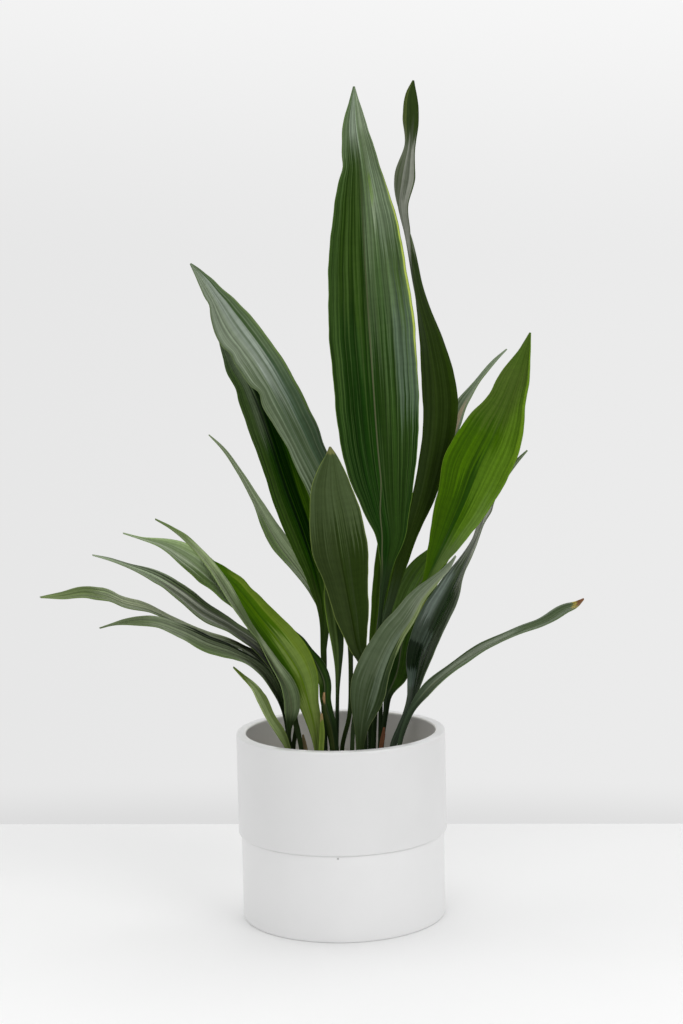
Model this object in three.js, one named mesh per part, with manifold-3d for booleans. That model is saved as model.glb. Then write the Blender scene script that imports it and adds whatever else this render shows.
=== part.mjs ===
// A cast iron plant in a white glazed pot.
// Sizes are millimetres, +Z is up, the pot stands on z = 0 and its axis is x = 0, y = 0.
// The front, where the viewer stands, is the -Y side.
import * as THREE from "three";
import Module from "manifold-3d";

// Pot: an upper cylinder that steps in a little to a narrower foot.
const POT_HEIGHT = 167;
const POT_RADIUS = 94;
const FOOT_RADIUS = 91.5;
const STEP_HEIGHT = 77;
const WALL = 8;
const FLOOR = 8;
const RIM_ROUND = 1.6;
const STEP_ROUND = 0.6;
const FOOT_ROUND = 1.5;
const CORNER_ROUND = 3;
const ROUND_POINTS = 1;
const POT_SEGMENTS = 64;

// Soil: fills the pot to well below the rim, with a gently uneven top.
const SOIL_TOP = 120;
const SOIL_GAP = 0.35;
const SOIL_UNEVEN = 1.6;
const SOIL_HUMP_X = 11;
const SOIL_HUMP_Y = 9;
const SOIL_CRUMB = 6;
const SOIL_RINGS = 5;
const SOIL_SEGMENTS = 32;

// Leaf stalks stand in plain holes of the soil, leaning in a little towards its middle.
const STALK_FOOT = 106;
const STALK_NECK = 127;
const STALK_LEAN_X = 0.94;
const STALK_LEAN_Y = 0.9;
const HOLE_GAP = 0.35;

// Leaf sections: a stalk is a thick narrow channel, a blade a thin broad one.
const STALK_HALF = 3.5;
const STALK_MIDDLE = 3.2;
const STALK_EDGE = 1.8;
const STALK_FOLD = 30;
const BLADE_HALF = 10;
const BLADE_MIDDLE = 1.7;
const BLADE_EDGE = 0.7;
const BLADE_FOLD = 12;
const TIP_HALF = 0.8;
const TIP_THICK = 1;
const TIP_START = 0.9;

// How a half of the blade curves up from the midrib, and how its thickness falls off.
const CURL_POWER = 1.3;
const THIN_POWER = 0.7;

// Margin waves: their height as a share of the half width, and how far the two margins differ.
const WAVE_SHARE = 0.07;
const WAVE_SHIFT = 1.9;

// Where sections are drawn: across the blade, and how far apart along it.
const BROAD_ACROSS = [-1, -0.62, -0.26, 0, 0.26, 0.62, 1];
const NARROW_ACROSS = [-1, -0.5, 0, 0.5, 1];
const BROAD_LEAF = 19;
const BROAD_STEP = 21;
const NARROW_STEP = 22;
const FEWEST_STEPS = 4;
const DIRECTION_STEP = 0.5;

const LEAF_ROUGHNESS = 0.45;
const SHEATH_ROUGHNESS = 0.75;

// The point from which the front elevation of the leaves was measured.
const EYE = new THREE.Vector3(5, -1597, 508);

// Each leaf is a list of places along it, from the rim of the pot to the tip.
// A place is [x, z, y, half, turn]: x and z as they appear in the front elevation at the pot's
// axis, the true depth y, half the blade's width, and the blade's turn about its own line in
// degrees, where 0 faces the viewer and 180 shows the underside.
const LEAVES = [
  { name: "leaf_tall_front", colour: 0x4f6b3c, waves: 3, places: [
    [29, 149, 4, 2.5, 0], [31, 183, 3, 2.5, 0], [35, 239, 0, 2.5, 5], [40, 288, -2, 2.5, 10],
    [45, 318, -2, 7, 20], [48, 339, -2, 14, 25], [45, 369, 0, 24.5, 22], [41, 411, 2, 34, 15],
    [37, 480, 6, 38, 12], [34, 542, 8, 38, 12], [32, 584, 8, 34, 12], [30, 627, 6, 27, 10],
    [28, 664, 2, 18, 10], [24, 707, -4, 10, 15], [24, 725, -7, 4, 15], [24, 736, -9, 0.8, 15],
  ] },
  { name: "leaf_tall_twisted", colour: 0x3c4a2c, waves: 4, places: [
    [22, 149, 22, 2, 0], [24, 193, 22, 2, 10], [33, 239, 22, 2.5, 20], [48, 285, 24, 4.5, 35],
    [57, 315, 27, 8, 48], [69, 346, 32, 12, 52], [83, 389, 40, 19.5, 52], [94, 452, 52, 26.5, 55],
    [89, 510, 60, 24, 63], [78, 560, 62, 21, 76], [70, 609, 58, 19, 92], [65, 631, 54, 17.5, 108],
    [67, 656, 50, 16.5, 125], [73, 686, 44, 11.5, 114], [74, 710, 38, 11, 130], [74, 727, 34, 7, 135],
    [76, 740, 30, 0.8, 140],
  ] },
  { name: "leaf_right_bright", colour: 0x5d8420, waves: 3, places: [
    [48, 149, 16, 2, 0], [62, 192, 16, 2.5, 0], [66, 238, 16, 2.5, 0], [71, 277, 18, 2.5, -8],
    [81, 303, 20, 4.5, -12], [97, 336, 22, 15, -12], [112, 367, 24, 23, -12], [125, 399, 28, 31, -14],
    [141, 431, 32, 28.5, -16], [156, 465, 36, 17, -22], [166, 491, 38, 10.5, -28], [175, 519, 38, 0.8, -30],
  ] },
  { name: "leaf_right_sliver", colour: 0x6f8068, waves: 2, places: [
    [35, 149, 40, 2, 0], [37, 202, 48, 2, 0], [39, 247, 56, 2, -10], [50, 292, 62, 2.5, -30],
    [66, 336, 70, 5.5, -50], [83, 380, 80, 9, -62], [98, 421, 90, 12.5, -66], [111, 456, 100, 13.5, -68],
    [127, 477, 108, 8.5, -72], [144, 496, 112, 4, -70], [154, 505, 114, 0.8, -70],
  ] },
  { name: "leaf_right_back", colour: 0x4f6b34, waves: 2, places: [
    [36, 149, 12, 2.5, 0], [41, 182, 15, 2.5, -5], [43, 197, 19, 4, -15], [50, 216, 26, 12, -25],
    [56, 249, 35, 17.5, -25], [65, 284, 43, 21, -25], [73, 301, 48, 20, -30], [86, 320, 54, 15, -35],
    [99, 332, 58, 10, -45], [113, 346, 62, 5.5, -50], [125, 359, 64, 0.8, -50],
  ] },
  { name: "leaf_right_dark", colour: 0x34463a, waves: 2, places: [
    [47, 151, -2, 3, 0], [55, 169, -4, 3.5, -10], [63, 189, -6, 3.5, -20], [67, 210, -7, 8, -35],
    [71, 232, -7, 14.5, -40], [83, 260, -6, 18, -40], [97, 287, 2, 16.5, -45], [107, 307, 11, 15.5, -56],
    [117, 325, 22, 12, -66], [123, 337, 30, 10.5, -73], [132, 360, 44, 9, -68], [146, 386, 52, 5.5, -64],
    [160, 404, 57, 3.5, -60], [171, 415, 60, 0.8, -60],
  ] },
  { name: "leaf_front_right", colour: 0x748069, waves: 2, places: [
    [17, 150, -20, 3.5, 0], [19, 170, -22, 7, -5], [22, 189, -26, 14, -15], [26, 206, -30, 17, -22],
    [33, 226, -36, 16, -28], [46, 251, -44, 14.5, -32], [59, 268, -52, 12.5, -36], [73, 288, -60, 9, -44],
    [89, 303, -68, 5, -52], [99, 312, -72, 3, -50], [106, 322, -76, 0.8, -50],
  ] },
  { name: "leaf_left_grey", colour: 0x6d7f6a, waves: 3, places: [
    [1, 150, 4, 2, 0], [8, 179, 3, 2, 5], [10, 212, 2, 2, 8], [10, 248, 2, 2.5, 15],
    [6, 286, 2, 4.5, 30], [2, 328, 4, 12, 42], [-10, 388, 8, 22, 46], [-27, 425, 10, 24, 46],
    [-46, 466, 12, 26, 46], [-65, 500, 12, 27, 48], [-88, 533, 10, 26, 50], [-102, 557, 6, 16.5, 52],
    [-114, 575, 2, 9, 55], [-123, 586, 0, 0.8, 55],
  ] },
  { name: "leaf_left_dark", colour: 0x35521c, waves: 3, places: [
    [-6, 150, 16, 2, 0], [-14, 194, 18, 2, 5], [-14, 235, 20, 2.5, 15], [-12, 269, 24, 6, 30],
    [-15, 303, 30, 14.5, 40], [-25, 345, 38, 24.5, 42], [-39, 389, 46, 29, 44], [-53, 435, 52, 28.5, 45],
    [-67, 474, 56, 26.5, 46], [-84, 503, 58, 20.5, 48], [-93, 518, 58, 11, 50], [-100, 533, 58, 0.8, 50],
  ] },
  { name: "leaf_front_centre", colour: 0x48563a, waves: 2, places: [
    [10, 150, -8, 2, 180], [13, 180, -8, 2, 180], [19, 202, -9, 2, 180], [21, 229, -11, 4.5, 178],
    [17, 242, -14, 8, 176], [13, 267, -20, 14.5, 174], [8, 299, -28, 19, 172], [4, 324, -35, 24.5, 172],
    [0, 356, -44, 23, 172], [-3, 383, -51, 18.5, 170], [-3, 404, -56, 10.5, 168], [-3, 414, -58, 5, 168],
    [-4, 422, -60, 0.8, 168],
  ] },
  { name: "leaf_small_centre", colour: 0x5a7a34, waves: 2, places: [
    [-4, 150, -4, 1.8, 0], [-3, 176, -4, 1.8, 0], [-2, 203, -3, 1.8, 5], [-1, 222, 0, 3, 15],
    [-1, 242, 5, 5.5, 20], [-3, 264, 11, 7.5, 25], [-6, 287, 18, 7, 30], [-8, 305, 22, 4, 35],
    [-10, 315, 25, 0.8, 35],
  ] },
  { name: "leaf_small_dark", colour: 0x2c4420, waves: 1, places: [
    [-4, 150, -14, 2, 0], [-8, 172, -15, 4, 15], [-13, 195, -11, 5.5, 30], [-13, 211, -6, 7, 38],
    [-19, 227, -2, 8, 45], [-27, 240, 2, 7, 60], [-33, 250, 5, 5, 65], [-40, 258, 8, 0.8, 65],
  ] },
  { name: "leaf_left_bright", colour: 0x6b8a2e, waves: 2, places: [
    [-21, 150, -20, 3.5, 0], [-23, 167, -22, 5.5, 10], [-27, 189, -24, 9.5, 25], [-34, 218, -27, 17.5, 28],
    [-49, 244, -31, 17.5, 28], [-70, 272, -36, 13.5, 30], [-90, 299, -40, 11.5, 36], [-107, 315, -43, 6, 42],
    [-119, 328, -45, 0.8, 42],
  ] },
  { name: "leaf_right_low", colour: 0x64785a, waves: 3, places: [
    [53, 153, -20, 2, 0], [57, 167, -21, 2.5, -10], [64, 183, -22, 3, -25], [78, 202, -24, 6.5, -42],
    [99, 220, -28, 7.5, -58], [120, 234, -32, 9.5, -66], [144, 246, -37, 8, -68], [165, 255, -42, 8.5, -66],
    [187, 263, -47, 10, -62], [204, 273, -51, 8.5, -64], [213, 276, -53, 6, -66], [220, 281, -55, 0.8, -66],
  ] },
  { name: "leaf_left_front", colour: 0x6a7a64, waves: 3, places: [
    [-47, 156, -28, 2, 0], [-46, 171, -31, 2.5, 15], [-43, 186, -36, 8, 32], [-45, 204, -44, 9.5, 45],
    [-58, 229, -52, 8.5, 64], [-77, 260, -64, 9, 70], [-93, 287, -74, 10, 62], [-112, 318, -82, 7.5, 66],
    [-130, 339.5, -88, 7, 68], [-147, 353, -93, 3.5, 68], [-161, 361, -97, 0.8, 68],
  ] },
  { name: "leaf_left_second", colour: 0x76896a, waves: 2, places: [
    [-43, 151, -10, 2, 0], [-40, 172, -11, 2, 0], [-44, 195, -14, 2, 10], [-53, 222, -18, 4, 35],
    [-72, 255, -22, 8, 50], [-84, 276, -28, 11, 54], [-107, 304, -41, 17, 54], [-135, 328, -56, 17, 54],
    [-155, 339, -66, 10, 62], [-174, 344, -72, 3.5, 70], [-190, 349, -78, 0.8, 70],
  ] },
  { name: "leaf_left_third", colour: 0x5f6b5a, waves: 3, places: [
    [-36, 151, -22, 2, 0], [-40, 172, -22, 2.5, 10], [-47, 193, -24, 3, 30], [-56, 219, -30, 5, 48],
    [-69, 242, -40, 9.5, 60], [-94, 262, -56, 12.5, 64], [-119, 277.5, -72, 16, 64], [-141, 295, -86, 14, 64],
    [-165, 311, -98, 11.5, 68], [-186, 320, -108, 7.5, 74], [-203, 326, -116, 5, 74],
    [-218, 330, -122, 0.8, 74],
  ] },
  { name: "leaf_left_long", colour: 0x6a7d56, waves: 3, places: [
    [-46, 151, 0, 2, 0], [-48, 173, -2, 2, 10], [-52, 197, -4, 3, 30], [-67, 228, -10, 7.5, 60],
    [-86, 245, -20, 10, 70], [-116, 256, -38, 11, 76], [-145, 269.5, -58, 10.5, 76],
    [-171, 281.5, -80, 11, 74], [-191, 287, -99, 11.5, 70], [-208, 294, -115, 11, 64],
    [-226, 297, -129, 9.5, 58], [-247, 294, -144, 6.5, 60], [-266, 293, -158, 0.8, 64],
  ] },
  { name: "leaf_left_low", colour: 0x5d7050, waves: 2, places: [
    [-48, 151, -14, 2, 0], [-48, 169, -16, 2, 10], [-53, 195, -21, 3.5, 30], [-61, 213, -29, 7.5, 50],
    [-78, 231, -41, 10, 60], [-95, 240, -53, 12, 62], [-117, 248, -69, 13, 60], [-141, 260, -87, 11, 60],
    [-166, 269, -101, 10.5, 60], [-192, 269, -112, 6.5, 66], [-203, 267, -116, 3, 72],
    [-214, 264, -121, 0.8, 72],
  ] },
  { name: "leaf_front_short", colour: 0x6f8c3c, waves: 1, places: [
    [-48, 151, -38, 2.5, 0], [-53, 163, -41, 4, 12], [-63, 180, -46, 4.5, 28], [-70, 196, -52, 5.5, 36],
    [-77, 208, -57, 5, 50], [-87, 218, -61, 3, 60], [-95, 226, -64, 0.8, 60],
  ] },
  { name: "leaf_left_narrow", colour: 0x71845c, waves: 2, places: [
    [-14, 150, 34, 2, 0], [-14, 194, 36, 2, 5], [-13, 235, 40, 2, 15], [-16, 280, 52, 3.5, 35],
    [-30, 308, 66, 10.5, 52], [-50.5, 338, 82, 13.8, 54], [-69, 373, 98, 11.5, 64], [-84, 401, 108, 9, 72],
    [-100, 424, 116, 6.5, 76], [-111, 435, 120, 0.8, 76],
  ] },
  { name: "leaf_back_small", colour: 0x4d6a22, waves: 1, places: [
    [26, 149, 46, 2, 0], [27, 193, 48, 2, 0], [29, 230, 50, 2.5, -10], [33, 255, 54, 6, -25],
    [38, 288, 60, 9, -30], [42, 324, 68, 9, -30], [44, 347, 72, 6, -30], [46, 366, 75, 0.8, -30],
  ] },
];

// Papery sheaths at the feet of some stalks, written like the leaves.
const SHEATHS = [
  { name: "sheath_left", colour: 0x8d7660, waves: 0, places: [
    [-32, 149, -12, 2.2, 20], [-33, 156, -12, 1.8, 20], [-34, 163, -12, 0.8, 20],
  ] },
  { name: "sheath_bright", colour: 0x7d9448, waves: 0, places: [
    [-18, 149, -26, 2.4, -20], [-17, 163, -26, 2.6, -25], [-17, 174, -26, 1.8, -25],
    [-17, 182, -26, 0.8, -25],
  ] },
  { name: "sheath_centre", colour: 0x55603c, waves: 0, places: [
    [-8, 150, -20, 2.2, 10], [-11, 170, -23, 2.6, 10], [-15, 188, -25, 2, 10], [-14, 201, -25, 0.8, 10],
  ] },
  { name: "sheath_right", colour: 0x7d5a40, waves: 0, places: [
    [36, 150, 0, 1.8, -10], [38, 160, 1, 1.9, -10], [39, 168, 1, 0.8, -10],
  ] },
];

function material(colour, roughness) {
  return new THREE.MeshStandardMaterial({ color: colour, roughness, metalness: 0 });
}

function named(name, geometry, look) {
  const mesh = new THREE.Mesh(geometry, look);
  mesh.name = name;
  return mesh;
}

function indexed(positions, index) {
  const geometry = new THREE.BufferGeometry();
  geometry.setAttribute("position", new THREE.Float32BufferAttribute(positions, 3));
  geometry.setIndex(index);
  geometry.computeVertexNormals();
  return geometry;
}

function mix(a, b, share) {
  return a + (b - a) * share;
}

function smooth(low, high, value) {
  const t = Math.min(1, Math.max(0, (value - low) / (high - low)));
  return t * t * (3 - 2 * t);
}

// A place of the front elevation moved to its own depth along the line of sight.
function seen(x, z, y) {
  const t = (y - EYE.y) / -EYE.y;
  return new THREE.Vector3(EYE.x + (x - EYE.x) * t, y, EYE.z + (z - EYE.z) * t);
}

// The places of a leaf as points in space, with two more below for the stalk in the soil.
function knotsOf(places) {
  const knots = places.map(([x, z, y, half, turn]) => ({ point: seen(x, z, y), half, turn }));
  const { point, half, turn } = knots[0];
  const foot = new THREE.Vector3(point.x * STALK_LEAN_X, point.y * STALK_LEAN_Y, STALK_FOOT);
  const share = (STALK_NECK - STALK_FOOT) / (point.z - STALK_FOOT);
  const neck = foot.clone().lerp(point, share);
  return [{ point: foot, half, turn }, { point: neck, half, turn }, ...knots];
}

// A smooth line through the knots: its point, half width and turn at a distance along it.
// The first span, the stalk's foot, is straight.
function lineOf(knots) {
  const values = knots.map(({ point, half, turn }) => [point.x, point.y, point.z, half, turn]);
  const reach = [0];
  for (let i = 1; i < knots.length; i++) {
    reach.push(reach[i - 1] + knots[i].point.distanceTo(knots[i - 1].point));
  }
  const slope = (i, c) => (values[i + 1][c] - values[i][c]) / (reach[i + 1] - reach[i]);
  const tangent = (i, c) => {
    if (i <= 1) return slope(0, c);
    if (i === knots.length - 1) return slope(i - 1, c);
    const before = reach[i] - reach[i - 1];
    const after = reach[i + 1] - reach[i];
    return (slope(i, c) * before + slope(i - 1, c) * after) / (before + after);
  };
  const at = (distance) => {
    let i = 0;
    while (i < knots.length - 2 && distance > reach[i + 1]) i++;
    const span = reach[i + 1] - reach[i];
    const t = (distance - reach[i]) / span;
    const end = t * t * (3 - 2 * t);
    const leave = t * (1 - t) * (1 - t) * span;
    const arrive = t * t * (t - 1) * span;
    return values[i].map(
      (value, c) => mix(value, values[i + 1][c], end) + leave * tangent(i, c) + arrive * tangent(i + 1, c),
    );
  };
  return { at, reach, length: reach[reach.length - 1] };
}

function widestHalf(leaf) {
  return Math.max(...leaf.places.map(([, , , half]) => half));
}

function acrossOf(leaf) {
  return widestHalf(leaf) >= BROAD_LEAF ? BROAD_ACROSS : NARROW_ACROSS;
}

// The distances along a leaf at which its section is drawn: its foot, its neck and on to its tip.
function distancesOf(leaf, neck, length) {
  const step = widestHalf(leaf) >= BROAD_LEAF ? BROAD_STEP : NARROW_STEP;
  const steps = Math.max(FEWEST_STEPS, Math.round((length - neck) / step));
  const distances = [0];
  for (let i = 0; i <= steps; i++) {
    distances.push(mix(neck, length, i / steps));
  }
  return distances;
}

// The places along a leaf where its section is drawn, each with its own axes.
function stationsOf(leaf) {
  const line = lineOf(knotsOf(leaf.places));
  const neck = line.reach[1];
  const widest = leaf.places.findIndex(([, , , half]) => half === widestHalf(leaf));
  const pastWidest = line.reach[widest + 2];
  const pointAt = (distance) => new THREE.Vector3(...line.at(distance).slice(0, 3));
  return distancesOf(leaf, neck, line.length).map((distance) => {
    const [, , , width, degrees] = line.at(distance);
    const point = pointAt(distance);
    const here = Math.max(neck, distance);
    const ahead = pointAt(Math.min(here + DIRECTION_STEP, line.length));
    const forward = ahead.sub(pointAt(here - DIRECTION_STEP)).normalize();
    const sight = pointAt(here).sub(EYE);
    const flat = forward.clone().cross(sight).normalize();
    const out = forward.clone().cross(flat);
    const turn = THREE.MathUtils.degToRad(degrees);
    const side = flat.multiplyScalar(Math.cos(turn)).addScaledVector(out, Math.sin(turn));
    const face = forward.clone().cross(side);
    const half = Math.max(TIP_HALF, width);
    const blade = distance > pastWidest ? 1 : smooth(STALK_HALF, BLADE_HALF, half);
    return { point, forward, side, face, half, blade, along: distance / line.length };
  });
}

// The section of a leaf at a station: points across it, each with the blade's thickness there.
function sectionOf(leaf, station, across, grow) {
  const { point, side, face, half, blade, along } = station;
  const fold = Math.tan(THREE.MathUtils.degToRad(mix(STALK_FOLD, BLADE_FOLD, blade)));
  const tip = smooth(TIP_START, 1, along);
  const middle = mix(mix(STALK_MIDDLE, BLADE_MIDDLE, blade), TIP_THICK, tip);
  const edge = mix(STALK_EDGE, BLADE_EDGE, blade);
  return across.map((u) => {
    const wide = Math.abs(u);
    const phase = 2 * Math.PI * leaf.waves * along + (u > 0 ? WAVE_SHIFT : 0);
    const wave = leaf.waves ? WAVE_SHARE * half * blade * wide * wide * Math.sin(phase) : 0;
    const rise = (Math.pow(wide, CURL_POWER) - 1) * half * fold + wave;
    const centre = point.clone().addScaledVector(side, u * (half + grow)).addScaledVector(face, rise);
    return { centre, thick: mix(middle, edge, Math.pow(wide, THIN_POWER)) + 2 * grow };
  });
}

// One closed solid through the stations: a folded blade above and below, thin at the margins.
// Both faces are split into the same triangles, so that a waved blade never crosses itself.
function bladeGeometry(leaf, stations, across, grow) {
  const positions = [];
  const index = [];
  const size = across.length;
  const around = 2 * size;
  for (const station of stations) {
    const section = sectionOf(leaf, station, across, grow);
    const skin = (sign) => section.map(
      ({ centre, thick }) => centre.clone().addScaledVector(station.face, (sign * thick) / 2),
    );
    for (const corner of [...skin(1), ...skin(-1).reverse()]) {
      positions.push(...corner.toArray());
    }
  }
  for (let i = 0; i + 1 < stations.length; i++) {
    for (let j = 0; j < around; j++) {
      const next = (j + 1) % around;
      const a = i * around + j;
      const b = i * around + next;
      const c = b + around;
      const d = a + around;
      if (j < size) index.push(a, d, c, a, c, b);
      else index.push(a, d, b, b, d, c);
    }
  }
  const last = (stations.length - 1) * around;
  for (let j = 0; j + 1 < size; j++) {
    const under = around - 1 - j;
    index.push(j, j + 1, under - 1, j, under - 1, under);
    index.push(last + j, last + under - 1, last + j + 1, last + j, last + under, last + under - 1);
  }
  return indexed(positions, index);
}

function leafMesh(leaf, roughness) {
  const geometry = bladeGeometry(leaf, stationsOf(leaf), acrossOf(leaf), 0);
  return named(leaf.name, geometry, material(leaf.colour, roughness));
}

// The hole a stalk stands in: the stalk's own straight foot, a little larger, up through the soil.
function holeGeometry(leaf) {
  const [foot, neck] = stationsOf(leaf);
  const low = { ...foot, point: foot.point.clone().addScaledVector(foot.forward, -HOLE_GAP) };
  const high = { ...low, point: neck.point.clone().addScaledVector(neck.forward, HOLE_GAP) };
  return bladeGeometry(leaf, [low, high], NARROW_ACROSS, HOLE_GAP);
}

// The pot's section, from the middle of its underside out, up, over the rim and down inside.
function potGeometry() {
  const inner = POT_RADIUS - WALL;
  const quarter = Math.PI / 2;
  const profile = new THREE.Path();
  profile.moveTo(0, 0);
  profile.lineTo(FOOT_RADIUS - FOOT_ROUND, 0);
  profile.absarc(FOOT_RADIUS - FOOT_ROUND, FOOT_ROUND, FOOT_ROUND, -quarter, 0);
  profile.lineTo(FOOT_RADIUS, STEP_HEIGHT - STEP_ROUND);
  profile.absarc(POT_RADIUS - STEP_ROUND, STEP_HEIGHT + STEP_ROUND, STEP_ROUND, -quarter, 0);
  profile.absarc(POT_RADIUS - RIM_ROUND, POT_HEIGHT - RIM_ROUND, RIM_ROUND, 0, quarter);
  profile.absarc(inner + RIM_ROUND, POT_HEIGHT - RIM_ROUND, RIM_ROUND, quarter, 2 * quarter);
  profile.absarc(inner - CORNER_ROUND, FLOOR + CORNER_ROUND, CORNER_ROUND, 0, -quarter, true);
  profile.lineTo(0, FLOOR);
  const lathe = new THREE.LatheGeometry(profile.getPoints(ROUND_POINTS), POT_SEGMENTS);
  return lathe.rotateX(quarter);
}

// Height of the soil's top: low humps with smaller crumbs on them.
function soilTop(x, y) {
  const hump = Math.sin(x / SOIL_HUMP_X) * Math.cos(y / SOIL_HUMP_Y);
  const crumb = Math.sin((x + y) / SOIL_CRUMB);
  return SOIL_TOP + SOIL_UNEVEN * (hump + crumb / 2);
}

// The soil before the stalk holes are cut: a low drum with an uneven top.
function soilDrum() {
  const radius = POT_RADIUS - WALL - SOIL_GAP;
  const bottom = FLOOR + SOIL_GAP;
  const positions = [0, 0, SOIL_TOP, 0, 0, bottom];
  const index = [];
  const starts = [];
  const addRing = (ringRadius, height) => {
    starts.push(positions.length / 3);
    for (let i = 0; i < SOIL_SEGMENTS; i++) {
      const angle = (2 * Math.PI * i) / SOIL_SEGMENTS;
      const x = ringRadius * Math.cos(angle);
      const y = ringRadius * Math.sin(angle);
      positions.push(x, y, height(x, y));
    }
  };
  for (let ring = 1; ring <= SOIL_RINGS; ring++) {
    addRing((radius * ring) / SOIL_RINGS, soilTop);
  }
  addRing(radius, () => bottom + CORNER_ROUND);
  addRing(radius - CORNER_ROUND, () => bottom);
  const last = starts[starts.length - 1];
  for (let i = 0; i < SOIL_SEGMENTS; i++) {
    const next = (i + 1) % SOIL_SEGMENTS;
    index.push(0, starts[0] + i, starts[0] + next);
    for (let ring = 0; ring + 1 < starts.length; ring++) {
      const a = starts[ring] + i;
      const b = starts[ring] + next;
      const c = starts[ring + 1] + next;
      const d = starts[ring + 1] + i;
      index.push(a, d, c, a, c, b);
    }
    index.push(1, last + next, last + i);
  }
  return indexed(positions, index);
}

const wasm = await Module();
wasm.setup();

function solid(geometry) {
  return new wasm.Manifold(
    new wasm.Mesh({
      numProp: 3,
      vertProperties: new Float32Array(geometry.attributes.position.array),
      triVerts: new Uint32Array(geometry.index.array),
    }),
  );
}

function geometryOf(manifold) {
  const { numVert, numProp, vertProperties, triVerts } = manifold.getMesh();
  const positions = [];
  for (let i = 0; i < numVert; i++) {
    positions.push(...vertProperties.subarray(i * numProp, i * numProp + 3));
  }
  return indexed(positions, Array.from(triVerts));
}

function soilGeometry() {
  let soil = solid(soilDrum());
  for (const stalk of [...LEAVES, ...SHEATHS]) {
    soil = soil.subtract(solid(holeGeometry(stalk)));
  }
  return geometryOf(soil);
}

const plantInPot = new THREE.Group();
plantInPot.name = "plant_in_pot";
plantInPot.add(named("pot", potGeometry(), material(0xdedddb, 0.35)));
plantInPot.add(named("soil", soilGeometry(), material(0x3a2c22, 0.95)));
for (const leaf of LEAVES) {
  plantInPot.add(leafMesh(leaf, LEAF_ROUGHNESS));
}
for (const sheath of SHEATHS) {
  plantInPot.add(leafMesh(sheath, SHEATH_ROUGHNESS));
}

export default plantInPot;
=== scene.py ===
import math

import bpy
import numpy as np
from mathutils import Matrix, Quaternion, Vector, noise


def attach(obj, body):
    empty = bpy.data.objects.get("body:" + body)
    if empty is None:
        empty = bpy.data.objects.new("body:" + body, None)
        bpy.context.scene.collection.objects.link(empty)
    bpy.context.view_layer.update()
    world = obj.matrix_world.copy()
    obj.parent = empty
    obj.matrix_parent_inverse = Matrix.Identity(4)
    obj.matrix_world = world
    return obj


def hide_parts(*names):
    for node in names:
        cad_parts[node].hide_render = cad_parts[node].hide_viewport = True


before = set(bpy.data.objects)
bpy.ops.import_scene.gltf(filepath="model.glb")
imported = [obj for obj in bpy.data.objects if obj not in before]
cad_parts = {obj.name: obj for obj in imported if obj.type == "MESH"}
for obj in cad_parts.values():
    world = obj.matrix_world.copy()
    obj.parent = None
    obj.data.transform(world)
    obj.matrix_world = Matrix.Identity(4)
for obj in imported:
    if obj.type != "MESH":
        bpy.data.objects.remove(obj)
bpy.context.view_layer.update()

MM = 0.001
ROOT = "root"
TURN = 2 * math.pi

# The viewer's eye, which is also where the camera stands. The camera's angles are in degrees.
EYE = np.array([5.0, -1597.0, 508.0])
CAMERA_DOWN = 5.17
CAMERA_ROLL = -1.25
FOCAL_PIXELS = 1800
PICTURE_HEIGHT = 1024
SENSOR = 36

# Pot.
POT_HEIGHT = 167
POT_RADIUS = 94
FOOT_RADIUS = 91.5
STEP_HEIGHT = 77
WALL = 8
FLOOR = 8
RIM_ROUND = 1.6
STEP_ROUND = 0.6
FOOT_ROUND = 1.5
CORNER_ROUND = 3
POT_SEGMENTS = 256
RIM_BEAD = 0.9
RIM_BEAD_DEEP = 9
PIT_PLACE = (-4.5, -91.4, 74.2)
PIT_RADIUS = 1.0
# The wall's last points under the step: how far in from the foot's radius, and how far under the step.
STEP_HOLLOW = ((0, 2.4), (0.2, 1.4), (0.8, 0.7), (0.7, 0.1))

# Soil.
SOIL_TOP = 120
SOIL_GAP = 0.35
SOIL_UNEVEN = 1.6
SOIL_HUMP_X = 11
SOIL_HUMP_Y = 9
SOIL_CRUMB = 6
SOIL_ROUGH = 1.3
SOIL_ROUGH_SCALE = 0.16
SOIL_RINGS = 70
SOIL_SEGMENTS = 200

# Leaf stalks and blades.
STALK_FOOT = 106
STALK_NECK = 127
STALK_LEAN_X = 0.94
STALK_LEAN_Y = 0.9
STALK_HALF = 3.5
STALK_MIDDLE = 3.1
STALK_EDGE = 0.9
STALK_FOLD = 30
BLADE_HALF = 10
BLADE_MIDDLE = 0.75
BLADE_EDGE = 0.5
BLADE_FOLD = 12
TIP_HALF = 0.45
TIP_THIN = 0.7
CURL_POWER = 1.3
WAVE_SHARE = 0.07
WAVE_SHIFT = 1.9
RIB_WIDE = 1.5
RIB_HIGH = 0.9
RIB_FADE = 0.8
GROOVE_DEEP = 0.35
# Broad and fine pleats: their width and height. Each comes in three widths that add up.
PLEATS = ((5.5, 0.3), (2.3, 0.05))
PLEAT_STRETCHES = (0.82, 1.0, 1.27)
PLEAT_SHARE = 1.6
PLEAT_DRIFT = 200
MARGIN_CURL = 0.5
ALONG_STEP = 3.2
ACROSS_STEP = 0.62
FEWEST_ACROSS = 13
AIM_STEP = 0.5
# Waves of the margins: their length and height.
EDGE_WAVES = ((67, 0.32), (31, 0.18), (15, 0.08))

# How the light shows on a leaf's skin.
LIGHT = 0.95
SHEEN = 0.012
DARKEST = 0.0008

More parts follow.
